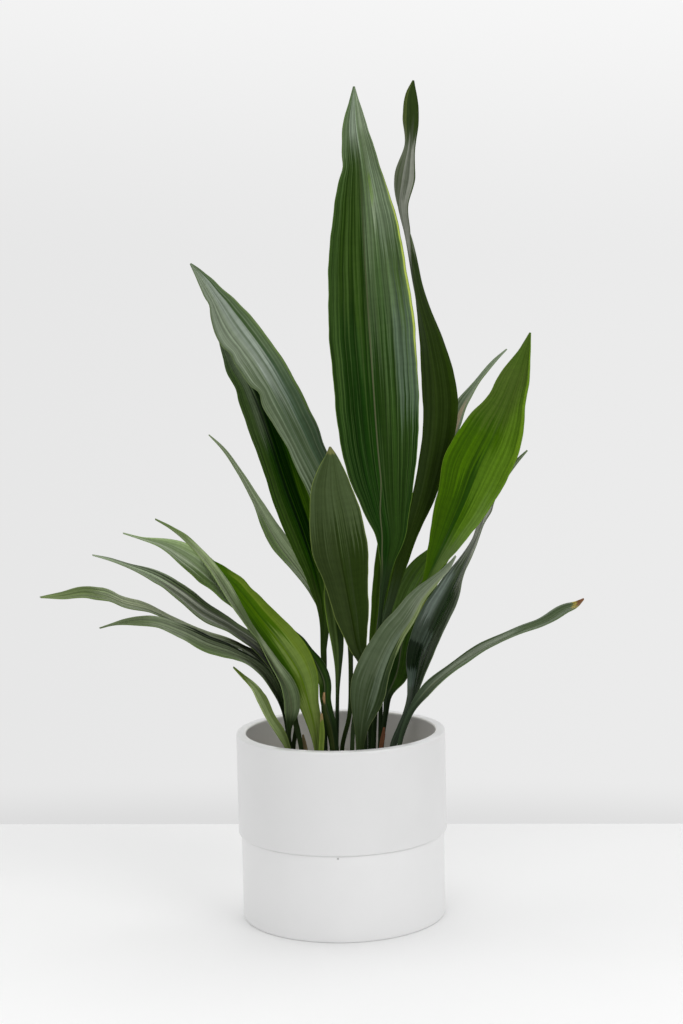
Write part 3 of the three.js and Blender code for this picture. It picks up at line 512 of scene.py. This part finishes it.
leaf("sheath_left", "sheath", waves=0, places=[
    [-32, 149, -12, 2.2, 20], [-33, 156, -12, 1.8, 20], [-34, 163, -12, 0.8, 20],
], look=dict(
    deep=(112, 96, 72), pale=(152, 136, 106), foot=(100, 88, 60), under=(120, 104, 78), rough=0.7,
))
leaf("sheath_bright", "sheath", waves=0, places=[
    [-18, 149, -26, 2.4, -20], [-17, 163, -26, 2.6, -25], [-17, 174, -26, 1.8, -25],
    [-17, 182, -26, 0.8, -25],
], patches=[
    band(94, 100, 3, (168, 140, 104), 90),
], look=dict(
    deep=(104, 126, 52), pale=(132, 152, 76), foot=(110, 130, 60), under=(120, 140, 66), rough=0.6,
))
leaf("sheath_centre", "sheath", waves=0, places=[
    [-8, 150, -20, 2.2, 10], [-11, 170, -23, 2.6, 10], [-15, 188, -25, 2, 10], [-14, 201, -25, 0.8, 10],
], patches=[
    band(95, 100, 3, (176, 140, 104), 90),
], look=dict(
    deep=(38, 50, 26), pale=(72, 78, 50), foot=(36, 46, 26), under=(60, 62, 44), rough=0.6,
))
leaf("sheath_right", "sheath", waves=0, places=[
    [36, 150, 0, 1.8, -10], [38, 160, 1, 1.9, -10], [39, 168, 1, 0.8, -10],
], look=dict(
    deep=(88, 60, 44), pale=(122, 86, 66), foot=(84, 58, 42), under=(100, 72, 54), rough=0.7,
))


def smooth(low, high, value):
    """0 below low, 1 above high, and a gentle rise between them."""
    t = np.clip((value - low) / (high - low), 0, 1)
    return t * t * (3 - 2 * t)


def mix(a, b, share):
    return a + (b - a) * share


def unit(vectors):
    return vectors / np.linalg.norm(vectors, axis=-1, keepdims=True)


def linear(colour):
    """A colour of 0 to 255 as seen, turned to the light it stands for, with full opacity."""
    parts = [c / 255 for c in colour]
    return [c / 12.92 if c <= 0.04045 else ((c + 0.055) / 1.055) ** 2.4 for c in parts] + [1.0]


def new_object(name, data):
    """A new object of the scene that shows this mesh, light or camera."""
    made = bpy.data.objects.new(name, data)
    bpy.context.scene.collection.objects.link(made)
    return made


# Leaf shapes


def seen(x, z, y):
    """A place that the viewer sees against the pot's axis, moved to its own depth along the line of sight."""
    t = (y - EYE[1]) / -EYE[1]
    return [EYE[0] + (x - EYE[0]) * t, y, EYE[2] + (z - EYE[2]) * t]


def knots_of(places):
    """The places of a leaf as rows of x, y, z, half width and turn, with two more below for its stalk."""
    rows = np.array([seen(x, z, y) + [half, turn] for x, z, y, half, turn in places], float)
    foot = rows[0].copy()
    foot[:3] = rows[0][0] * STALK_LEAN_X, rows[0][1] * STALK_LEAN_Y, STALK_FOOT
    share = (STALK_NECK - STALK_FOOT) / (rows[0][2] - STALK_FOOT)
    return np.vstack([foot, mix(foot, rows[0], share), rows])


class LeafLine:
    """A smooth line through a leaf's knots, whose first span, the stalk's foot, is straight."""

    def __init__(self, knots):
        self.knots = knots
        gaps = np.linalg.norm(np.diff(knots[:, :3], axis=0), axis=1)
        self.reach = np.concatenate([[0], np.cumsum(gaps)])
        slopes = np.diff(knots, axis=0) / gaps[:, None]
        before = gaps[:-1, None]
        after = gaps[1:, None]
        inner = (slopes[1:] * before + slopes[:-1] * after) / (before + after)
        self.tangents = np.vstack([slopes[0], inner, slopes[-1]])
        self.tangents[1] = slopes[0]
        self.length = self.reach[-1]

    def at(self, distances):
        i = np.clip(np.searchsorted(self.reach, distances) - 1, 0, len(self.reach) - 2)
        span = (self.reach[i + 1] - self.reach[i])[:, None]
        t = (np.asarray(distances) - self.reach[i])[:, None] / span
        middle = mix(self.knots[i], self.knots[i + 1], t * t * (3 - 2 * t))
        leave = t * (1 - t) ** 2 * span * self.tangents[i]
        arrive = t * t * (t - 1) * span * self.tangents[i + 1]
        return middle + leave + arrive


def stations_of(line, widest):
    """The places along a leaf where its section is drawn, each with its own axes."""
    neck = line.reach[1]
    steps = max(4, round((line.length - neck) / ALONG_STEP))
    distances = np.concatenate([[0, neck / 2], np.linspace(neck, line.length, steps + 1)])
    values = line.at(distances)
    here = np.maximum(distances, neck)
    ahead = line.at(np.minimum(here + AIM_STEP, line.length))[:, :3]
    forward = unit(ahead - line.at(here - AIM_STEP)[:, :3])
    sight = line.at(here)[:, :3] - EYE
    flat = unit(np.cross(forward, sight))
    out = np.cross(forward, flat)
    turn = np.radians(values[:, 4])[:, None]
    side = flat * np.cos(turn) + out * np.sin(turn)
    face = np.cross(forward, side)
    half = np.maximum(TIP_HALF, values[:, 3])
    blade = np.where(distances > line.reach[widest], 1, smooth(STALK_HALF, BLADE_HALF, half))
    return values[:, :3], side, face, half, blade, distances


def pleats(u, along, widest_half, draw):
    """Height of the lengthwise pleats, in millimetres, over the blade: broad ones with finer ones on them."""
    height = np.zeros(np.broadcast(u, along).shape)
    for wide, high in PLEATS:
        for stretch in PLEAT_STRETCHES:
            cycles = widest_half / wide / stretch
            start, drift, pace = draw.uniform(0, TURN), draw.uniform(-0.9, 0.9), draw.uniform(60, 140)
            strength = 0.5 + 0.5 * np.sin(along / pace + start)
            wave = np.cos(TURN * cycles * u + start + drift * along / PLEAT_DRIFT)
            height = height + high * strength * wave / PLEAT_SHARE
    return height


def margins(u, v, edges, distance, draw):
    """How far each margin strays from its even line, in millimetres."""
    stray = np.zeros(np.broadcast(u, v).shape)
    for side in (-1, 1):
        here = np.where(u * side > 0, 1, 0)
        for wave, high in EDGE_WAVES:
            start = draw.uniform(0, TURN)
            stray = stray + here * high * np.sin(TURN * distance / wave + start)
        for edge_side, middle, spread, shift in edges:
            if edge_side == side:
                stray = stray + here * shift * np.exp(-(((v * 100 - middle) / spread) ** 2))
    return stray


def blade_rise(u, v, half, blade, waves):
    """How far the folded and waved blade stands over its middle line, before its pleats."""
    wide = np.abs(u)
    fold = np.tan(np.radians(mix(STALK_FOLD, BLADE_FOLD, blade)))
    rise = (wide**CURL_POWER - 1) * half * fold
    if waves:
        phase = TURN * waves * v + np.where(u > 0, WAVE_SHIFT, 0)
        rise = rise + WAVE_SHARE * half * blade * wide**2 * np.sin(phase)
    return rise


def blade_skins(u, v, half, blade):
    """How far the upper and the lower skin lie from the blade's middle surface."""
    round_off = np.sqrt(np.clip(1 - u**2, 0, 1))
    stalk = mix(STALK_EDGE, STALK_MIDDLE, round_off)
    thick = mix(stalk, mix(BLADE_EDGE, BLADE_MIDDLE, round_off), blade) * mix(1, TIP_THIN, smooth(0.9, 1, v))
    rib = np.exp(-((u * half / RIB_WIDE) ** 2)) * blade
    rib = rib * (1 - RIB_FADE * smooth(0.5, 1, v)) * smooth(2, 6, half)
    return thick / 2 - GROOVE_DEEP * rib, thick / 2 + RIB_HIGH * rib


def blade_faces(rows, count):
    """The quads over and under a blade, along its two margins and across its two ends."""
    top = np.arange(rows * count).reshape(rows, count)
    bottom = top + rows * count
    quads = [
        np.stack([top[:-1, :-1], top[1:, :-1], top[1:, 1:], top[:-1, 1:]], -1).reshape(-1, 4),
        np.stack([bottom[:-1, :-1], bottom[:-1, 1:], bottom[1:, 1:], bottom[1:, :-1]], -1).reshape(-1, 4),
        np.stack([top[:-1, 0], bottom[:-1, 0], bottom[1:, 0], top[1:, 0]], -1),
        np.stack([top[:-1, -1], top[1:, -1], bottom[1:, -1], bottom[:-1, -1]], -1),
        np.stack([top[0, :-1], top[0, 1:], bottom[0, 1:], bottom[0, :-1]], -1),
        np.stack([top[-1, :-1], bottom[-1, :-1], bottom[-1, 1:], top[-1, 1:]], -1),
    ]
    return np.concatenate(quads).tolist()


def carry(mesh, name, kind, key, values):
    """Gives each point of the mesh a value that its material reads."""
    attribute = mesh.attributes.new(name, kind, "POINT")
    attribute.data.foreach_set(key, values.astype(np.float32).ravel())


def leaf_mesh(name, row, draw):
    """A thin folded blade with pleats, midrib and waved margins, closed all round."""
    halves = [place[3] for place in row["places"]]
    widest_half = max(halves)
    line = LeafLine(knots_of(row["places"]))
    point, side, face, half, blade, distances = stations_of(line, halves.index(widest_half) + 2)
    count = max(FEWEST_ACROSS, 2 * round(widest_half / ACROSS_STEP) + 1)
    u = np.linspace(-1, 1, count)[None, :]
    v = (distances / line.length)[:, None]
    h = half[:, None]
    b = blade[:, None]
    wide = np.abs(u)
    along = distances[:, None]
    uneven = margins(u, v, row["edges"], along, draw) * np.minimum(1, h / BLADE_HALF) * b
    grown = smooth(0.35, 0.9, h / widest_half) * b
    folds = row["look"]["pleat"] * pleats(u, along, widest_half, draw) * grown * (1 - wide**6)
    rise = blade_rise(u, v, h, b, row["waves"]) + folds - MARGIN_CURL * b * smooth(0.9, 1, wide)
    shift = u * h + np.sign(u) * wide**CURL_POWER * uneven
    centre = point[:, None, :] + side[:, None, :] * shift[..., None] + face[:, None, :] * rise[..., None]
    over, under = blade_skins(u, v, h, b)
    above = centre + face[:, None, :] * over[..., None]
    below = centre - face[:, None, :] * under[..., None]
    vertices = np.concatenate([above.reshape(-1, 3), below.reshape(-1, 3)]) * MM
    mesh = bpy.data.meshes.new(name + "_blade")
    mesh.from_pydata(vertices.tolist(), [], blade_faces(len(distances), count))
    mesh.shade_smooth()
    place = np.stack(np.broadcast_arrays(u, v, h), -1)
    carry(mesh, "place", "FLOAT_VECTOR", "vector", np.stack([place, place]))
    carry(mesh, "under", "FLOAT", "value", np.repeat([0.0, 1.0], len(distances) * count))
    return mesh, line.length, widest_half, v[np.argmax(half), 0]


# Materials


class Value:
    """What a node gives. Sums, differences and products of values are nodes of their own."""

    def __init__(self, graph, socket):
        self.graph = graph
        self.socket = socket

    def __add__(self, other):
        return self.graph.math("ADD", self, other)

    def __sub__(self, other):
        return self.graph.math("SUBTRACT", self, other)

    def __rsub__(self, other):
        return self.graph.math("SUBTRACT", other, self)

    def __mul__(self, other):
        return self.graph.math("MULTIPLY", self, other)

    def __abs__(self):
        return self.graph.math("ABSOLUTE", self)


class Graph:
    """The nodes of a material or a world. Its methods take numbers, colours or the values of other nodes."""

    def __init__(self, owner):
        owner.use_nodes = True
        self.nodes = owner.node_tree.nodes
        self.links = owner.node_tree.links

    def put(self, socket, value):
        if isinstance(value, Value):
            self.links.new(value.socket, socket)
        else:
            socket.default_value = value

    def node(self, kind, inputs, output=0, **settings):
        """A new node with its settings and inputs, and the value that it gives."""
        node = self.nodes.new(kind)
        for name, setting in settings.items():
            setattr(node, name, setting)
        for key, value in inputs.items():
            self.put(node.inputs[key], value)
        return Value(self, node.outputs[output])

    def attribute(self, name, output):
        return self.node("ShaderNodeAttribute", {}, output, attribute_name=name)

    def where(self, space="Object"):
        return self.node("ShaderNodeTexCoord", {}, space)

    def parts(self, vector):
        node = self.nodes.new("ShaderNodeSeparateXYZ")
        self.put(node.inputs[0], vector)
        return [Value(self, output) for output in node.outputs]

    def vector(self, x, y, z):
        return self.node("ShaderNodeCombineXYZ", {0: x, 1: y, 2: z})

    def math(self, operation, a, b=0.0):
        return self.node("ShaderNodeMath", {0: a, 1: b}, operation=operation)

    def smooth(self, low, high, value, start=0.0, end=1.0):
        """From start at low to end at high, gently."""
        inputs = {"Value": value, "From Min": low, "From Max": high, "To Min": start, "To Max": end}
        return self.node("ShaderNodeMapRange", inputs, interpolation_type="SMOOTHSTEP")

    def fall(self, low, high, value, start=1.0):
        """From start at low to 0 at high, gently."""
        return self.smooth(low, high, value, start, 0.0)

    def blend(self, share, a, b):
        """A mix of two colours: the sockets 6, 7 and 2 are those of the node that are colours."""
        return self.node("ShaderNodeMix", {0: share, 6: a, 7: b}, 2, data_type="RGBA")

    def scale(self, colour, share):
        return self.node("ShaderNodeVectorMath", {0: colour, "Scale": share}, operation="SCALE")

    def noise(self, vector, scale, detail, rough):
        inputs = {"Vector": vector, "Scale": scale, "Detail": detail, "Roughness": rough}
        return self.node("ShaderNodeTexNoise", inputs, "Fac")


class Shader(Graph):
    """A new material with its nodes and its surface."""

    def __init__(self, name):
        self.material = bpy.data.materials.new(name)
        super().__init__(self.material)
        self.surface = self.nodes["Principled BSDF"].inputs

    def bump(self, height, distance, strength):
        inputs = {"Height": height, "Distance": distance, "Strength": strength}
        self.put(self.surface["Normal"], self.node("ShaderNodeBump", inputs))

    def finish(self, colour, rough, gloss):
        self.put(self.surface["Base Color"], colour)
        self.put(self.surface["Roughness"], rough)
        self.surface["Specular IOR Level"].default_value = gloss
        return self.material


def skin(colour):
    """The colour of a leaf's skin that looks like this under the scene's light, less its sheen."""
    return [max(DARKEST, (part - SHEEN) / LIGHT) for part in linear(colour)[:3]] + [1.0]


def area(shader, u, v, stagger, ragged, patch):
    """How strongly a patch shows at u, v, with its edges broken up by the streaks."""
    *numbers, _, strength = patch
    u_from, u_to, v_from, v_to, soft_u, soft_v = [number / 100 for number in numbers]
    v = v + stagger * soft_v
    soft_v = soft_v * PATCH_FADE
    share = shader.smooth(u_from - soft_u, u_from, u) * shader.fall(u_to, u_to + soft_u, u)
    share = share * shader.smooth(v_from - soft_v, v_from, v) * shader.fall(v_to, v_to + soft_v, v)
    return shader.smooth(0.05, 0.95, share * ragged, 0.0, strength / 100)


def streaked(shader, look, streak):
    """The blade's two colours in streaks, and duller ones on its underside."""
    spread = STREAK_EVEN / look["contrast"]
    share = shader.smooth(0.5 - spread, 0.5 + spread, streak)
    over = shader.blend(share, skin(look["deep"]), skin(look["pale"]))
    under = shader.blend(share * 0.6, skin(look["under"]), skin(look["pale"]))
    return shader.blend(shader.attribute("under", "Fac") * 0.6, over, under)


def ribbed(shader, look, colour, u, v, half, flat):
    """The colour with the midrib on it, which can lean to one side low on the blade."""
    lean = shader.smooth(RIB_LEAN_FROM, RIB_LEAN_TO, v, look["rib_lean"], 0.0)
    wide = look["rib_wide"]
    rib = shader.fall(wide * 0.5, wide * 1.4, abs(u - lean) * half)
    rib = rib * shader.smooth(0.55, 0.95, v, 0.85, 0.1) * flat
    return shader.blend(rib, colour, skin(look["rib"]))


def leaf_material(name, row, length, widest_half, widest_v, seed):
    """Streaks and patches, the painted light and shade of the pleats, fine lines and veins, then the stalk,
    the midrib and the margins.
    """
    look = row["look"]
    shader = Shader(name + "_skin")
    u, v, half = shader.parts(shader.attribute("place", "Vector"))

    def streaks(wide, long, shift, detail):
        place = shader.vector(u * (widest_half / wide), v * (length / long), seed + shift)
        return shader.noise(place, 1.0, detail, STREAK_ROUGH)

    broad = streaks(look["stripe"], *BROAD_REST)
    middle = streaks(*MIDDLE)
    fine = streaks(*FINE)
    grain = streaks(*GRAIN)
    streak = broad * 0.5 + middle * 0.38 + streaks(*CLOUD) * 0.12
    opened = shader.smooth(widest_half * 0.2, widest_half * 0.6, half)
    flat = shader.smooth(3.0, 8.0, half)
    colour = streaked(shader, look, streak)

    ragged = shader.smooth(0.36, 0.64, streak, 0.6, 1.4)
    stagger = (middle + fine - 1.0) * STAGGER * opened
    for patch in row["patches"]:
        colour = shader.blend(area(shader, u, v, stagger, ragged, patch), colour, skin(patch[6]))

    # Painted light and shade of the pleats: lighter and darker streaks over the colour, and the look's light
    # lifting the whole blade.
    depth = look["pleat_shade"]
    bright = shader.smooth(0.3, 0.7, middle, look["light"] * (1 - depth), look["light"] * (1 + depth))
    bright = bright * shader.smooth(0.3, 0.7, broad, 1 - depth / 2, 1 + depth / 2)
    colour = shader.scale(colour, bright * shader.smooth(0.3, 0.7, grain, 0.95, 1.05))

    thin = streaks(look["line_wide"], *THIN_REST)
    dark = shader.fall(0.01, 0.06, abs(thin - 0.5), look["lines"]) * flat
    colour = shader.blend(dark, colour, shader.scale(colour, LINE_SHADE))
    vein = shader.smooth(0.58, 0.72, fine, 0.0, look["veins"]) * opened
    colour = shader.blend(vein, colour, skin(look["pale"]))

    stalk = shader.fall(3.0, 9.0, half) * shader.fall(widest_v * 0.45, widest_v * 0.8, v)
    cords = shader.smooth(0.35, 0.65, streaks(*CORDS), 0.7, 1.35) * shader.smooth(-1, 1, u, 0.8, 1.2)
    colour = shader.blend(stalk, colour, shader.scale(skin(look["foot"])[:3], cords))

    colour = ribbed(shader, look, colour, u, v, half, flat)
    margin = shader.fall(0.15, 0.9, (1.0 - abs(u)) * half, 0.75) * flat
    colour = shader.blend(margin, colour, skin(look["margin"]))
    shader.bump((fine + grain * 0.25) * opened, PLEAT_BUMP, 0.6 * look["bump"])
    return shader.finish(colour, broad * 0.16 + (look["rough"] - 0.08), look["gloss"])


def make_leaf(index, name, row):
    draw = np.random.default_rng(100 + index)
    mesh, length, widest_half, widest_v = leaf_mesh(name, row, draw)
    mesh.materials.append(leaf_material(name, row, length, widest_half, widest_v, float(index)))
    piece = new_object(name + "_blade", mesh)
    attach(piece, ROOT)
    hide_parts(name)


# Pot and soil


def arc(centre_r, centre_z, radius, start, end, steps=5):
    angles = np.radians(np.linspace(start, end, steps + 1))
    return [(centre_r + radius * math.cos(a), centre_z + radius * math.sin(a)) for a in angles]


def turned(profile, segments):
    """A section's points turned once round the Z axis, ring by ring."""
    angles = np.linspace(0, TURN, segments, endpoint=False)
    r, z = np.array(profile).T[:, :, None]
    return np.stack([r * np.cos(angles), r * np.sin(angles), np.repeat(z, segments, axis=1)], -1)


def ringed_mesh(name, first, rings, last):
    """A closed skin over rings of points, from the first point below to the last one on the axis."""
    count, segments, _ = rings.shape
    points = np.vstack([rings.reshape(-1, 3), [first, last]]) * MM
    start = count * segments
    faces = []
    for j in range(segments):
        n = (j + 1) % segments
        faces.append((start, n, j))
        for i in range(count - 1):
            a, b = i * segments, (i + 1) * segments
            faces.append((a + j, a + n, b + n, b + j))
        faces.append((b + j, b + n, start + 1))
    mesh = bpy.data.meshes.new(name)
    mesh.from_pydata(points.tolist(), [], faces)
    mesh.shade_smooth()
    return mesh


def pot_profile():
    """The pot's section from its underside out, up, over the rim and down inside."""
    inner = POT_RADIUS - WALL
    profile = [(FOOT_RADIUS * 0.5, 0)]
    profile += arc(FOOT_RADIUS - FOOT_ROUND, FOOT_ROUND, FOOT_ROUND, -90, 0)
    profile += [(FOOT_RADIUS, z) for z in np.linspace(4, STEP_HEIGHT - STEP_HOLLOW[0][1], 15)]
    profile += [(FOOT_RADIUS - inward, STEP_HEIGHT - under) for inward, under in STEP_HOLLOW[1:]]
    profile += arc(POT_RADIUS - STEP_ROUND, STEP_HEIGHT + STEP_ROUND, STEP_ROUND, -90, 0)
    low, high = STEP_HEIGHT + 2, POT_HEIGHT - RIM_ROUND - 1
    profile += [(POT_RADIUS, z) for z in np.linspace(low, high, 18)]
    profile += arc(POT_RADIUS - RIM_ROUND, POT_HEIGHT - RIM_ROUND, RIM_ROUND, 0, 90)
    profile += arc(inner - RIM_BEAD + RIM_ROUND, POT_HEIGHT - RIM_ROUND, RIM_ROUND, 90, 180)
    for z in np.linspace(high, FLOOR + CORNER_ROUND + 1, 40):
        profile.append((inner - RIM_BEAD * math.exp(-(((POT_HEIGHT - z) / RIM_BEAD_DEEP) ** 2)), z))
    profile += arc(inner - CORNER_ROUND, FLOOR + CORNER_ROUND, CORNER_ROUND, 0, -90)
    return profile


def glaze_material():
    """White glaze, painted warmer and lighter on the inner wall as light in the shaded inside, with a small
    pit under the step painted dark as shade in its hollow.
    """
    shader = Shader("white_glaze")
    place = shader.where()
    cloud = shader.noise(place, 9.0, 3.0, 0.5)
    x, y, z = shader.parts(place)
    share = shader.smooth(0.3, 0.7, cloud)
    foot = shader.blend(share, linear((231, 231, 231)), linear((235, 235, 235)))
    upper = shader.blend(share, linear((224, 224, 224)), linear((228, 228, 228)))
    colour = shader.blend(shader.smooth(STEP_HEIGHT * MM, (STEP_HEIGHT + 1) * MM, z), foot, upper)
    inner = (POT_RADIUS - WALL) * MM
    inside = shader.fall(inner + 0.2 * MM, inner + 1.0 * MM, shader.math("SQRT", x * x + y * y))
    # Painted light: the inner wall is made warmer and lighter than the glaze, more so low down, to lift the
    # shade inside the pot.
    painted_inner_light = shader.smooth((SOIL_TOP + 6) * MM, POT_HEIGHT * MM, z, 0.9, 0.5)
    colour = shader.blend(inside * painted_inner_light, colour, linear((247, 243, 236)))
    # The pit is painted dark: painted shade in its small hollow.
    pit_place = [part * MM for part in PIT_PLACE]
    gap = shader.node("ShaderNodeVectorMath", {0: place, 1: pit_place}, "Value", operation="DISTANCE")
    pit = shader.fall(PIT_RADIUS * 0.5 * MM, PIT_RADIUS * 1.3 * MM, gap)
    colour = shader.blend(pit * 0.6, colour, linear((104, 102, 98)))
    wave = shader.noise(place, 160.0, 2.0, 0.5) * 0.25
    shader.bump(wave - pit * 2.0, 0.0002, 0.5)
    shader.surface["Coat Weight"].default_value = 0.25
    shader.surface["Coat Roughness"].default_value = 0.18
    return shader.finish(colour, shader.smooth(0.3, 0.7, cloud, 0.3, 0.38), 0.4)


def make_pot():
    mesh = ringed_mesh("pot_glazed", (0, 0, 0), turned(pot_profile(), POT_SEGMENTS), (0, 0, FLOOR))
    mesh.materials.append(glaze_material())
    pot = new_object("pot_glazed", mesh)
    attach(pot, ROOT)
    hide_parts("pot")


def soil_height(x, y):
    hump = math.sin(x / SOIL_HUMP_X) * math.cos(y / SOIL_HUMP_Y)
    crumb = math.sin((x + y) / SOIL_CRUMB)
    rough = noise.fractal(Vector((x, y, 0)) * SOIL_ROUGH_SCALE, 0.7, 2.2, 4)
    return SOIL_TOP + SOIL_UNEVEN * (hump + crumb / 2) + SOIL_ROUGH * rough


def soil_mesh():
    """A body that fills the pot, from the middle of its underside to the middle of its rough top."""
    radius = POT_RADIUS - WALL - SOIL_GAP
    bottom = FLOOR + SOIL_GAP
    side = [(radius - CORNER_ROUND, bottom), (radius, bottom + CORNER_ROUND)]
    top = [(radius * k / SOIL_RINGS, SOIL_TOP) for k in range(SOIL_RINGS, 0, -1)]
    rings = turned(side + top, SOIL_SEGMENTS)
    for point in rings[len(side):].reshape(-1, 3):
        point[2] = soil_height(point[0], point[1])
    return ringed_mesh("soil_crumbly", (0, 0, bottom), rings, (0, 0, soil_height(0, 0)))


def soil_material():
    shader = Shader("potting_soil")
    place = shader.where()
    grain = shader.noise(place, 420.0, 4.0, 0.7)
    clump = shader.noise(place, 60.0, 3.0, 0.6)
    colour = shader.blend(shader.smooth(0.35, 0.68, grain), linear((34, 25, 18)), linear((84, 64, 46)))
    colour = shader.blend(shader.smooth(0.45, 0.75, clump, 0.0, 0.6), colour, linear((26, 19, 14)))
    shader.bump(grain, 0.0012, 0.9)
    return shader.finish(colour, 0.95, 0.15)


def make_soil():
    mesh = soil_mesh()
    mesh.materials.append(soil_material())
    soil = new_object("soil_crumbly", mesh)
    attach(soil, ROOT)
    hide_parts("soil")


# Surroundings


def floor_material():
    shader = Shader("pale_floor")
    place = shader.where()
    cloud = shader.noise(place, 3.0, 2.0, 0.5)
    y = shader.parts(place)[1]
    colour = shader.blend(cloud, (0.92, 0.92, 0.92, 1), (0.94, 0.94, 0.94, 1))
    # Darker towards the far edge: painted shade where the floor meets the background.
    colour = shader.blend(shader.smooth(-0.35, 0.3, y), colour, (0.86, 0.86, 0.86, 1))
    return shader.finish(colour, 0.6, 0.2)


def make_floor():
    """A flat pale floor whose far edge is the line where it meets the background."""
    near, far, wide, skew = -3.0, 0.299, 3.0, 0.0804
    corners = [(-wide, near, 0), (wide, near, 0), (wide, far - skew * wide, 0), (-wide, far + skew * wide, 0)]
    mesh = bpy.data.meshes.new("floor")
    mesh.from_pydata(corners, [], [(0, 1, 2, 3)])
    mesh.materials.append(floor_material())
    floor = new_object("floor", mesh)


def make_world():
    """The pale background, with painted shade in a band near the floor, darker on the viewer's side and
    lighter towards the top.
    """
    world = bpy.data.worlds.new("studio")
    bpy.context.scene.world = world
    graph = Graph(world)
    x, y, z = graph.parts(graph.where("Generated"))
    level = z + x * 0.0204
    # Painted shade: the background darkens in a band just above the floor's far edge.
    floor_edge_shade = graph.smooth(-0.262, -0.232, level, 0.88, 1.0)
    top = graph.smooth(0.04, 0.24, level, 0.82, 0.94)
    left = graph.smooth(-0.3, 0.3, x, 0.97, 1.02)
    back = graph.smooth(-0.7, 0.5, y, 0.4, 1.0)
    graph.put(graph.nodes["Background"].inputs["Color"], floor_edge_shade * top * (left * back))


def area_light(name, place, target, size, watts):
    light = bpy.data.lights.new(name, "AREA")
    light.shape = "SQUARE"
    light.size = size
    light.energy = watts
    lamp = new_object(name, light)
    lamp.location = place
    lamp.rotation_euler = (Vector(target) - Vector(place)).to_track_quat("-Z", "Y").to_euler()


def make_lights():
    area_light("overhead", (-0.2, 0.3, 2.4), (0, 0, 0.3), 1.6, 12)
    area_light("right", (1.8, -2.0, 1.8), (0, 0, 0.3), 1.5, 21)
    area_light("front", (-0.9, -2.6, 1.5), (0, 0, 0.3), 1.8, 19)


def make_camera():
    camera = bpy.data.cameras.new("viewer")
    camera.sensor_width = SENSOR
    camera.lens = FOCAL_PIXELS * SENSOR / PICTURE_HEIGHT
    seat = new_object("viewer", camera)
    seat.location = EYE * MM
    seat.rotation_mode = "QUATERNION"
    down = Quaternion(Vector((1, 0, 0)), math.radians(90 - CAMERA_DOWN))
    roll = Quaternion(Vector((0, 0, 1)), math.radians(CAMERA_ROLL))
    seat.rotation_quaternion = down @ roll
    bpy.context.scene.camera = seat


make_camera()
make_floor()
make_world()
make_lights()
bpy.context.scene.view_settings.view_transform = "Standard"
make_pot()
make_soil()
for number, (leaf_name, leaf_row) in enumerate(LEAVES.items()):
    make_leaf(number, leaf_name, leaf_row)
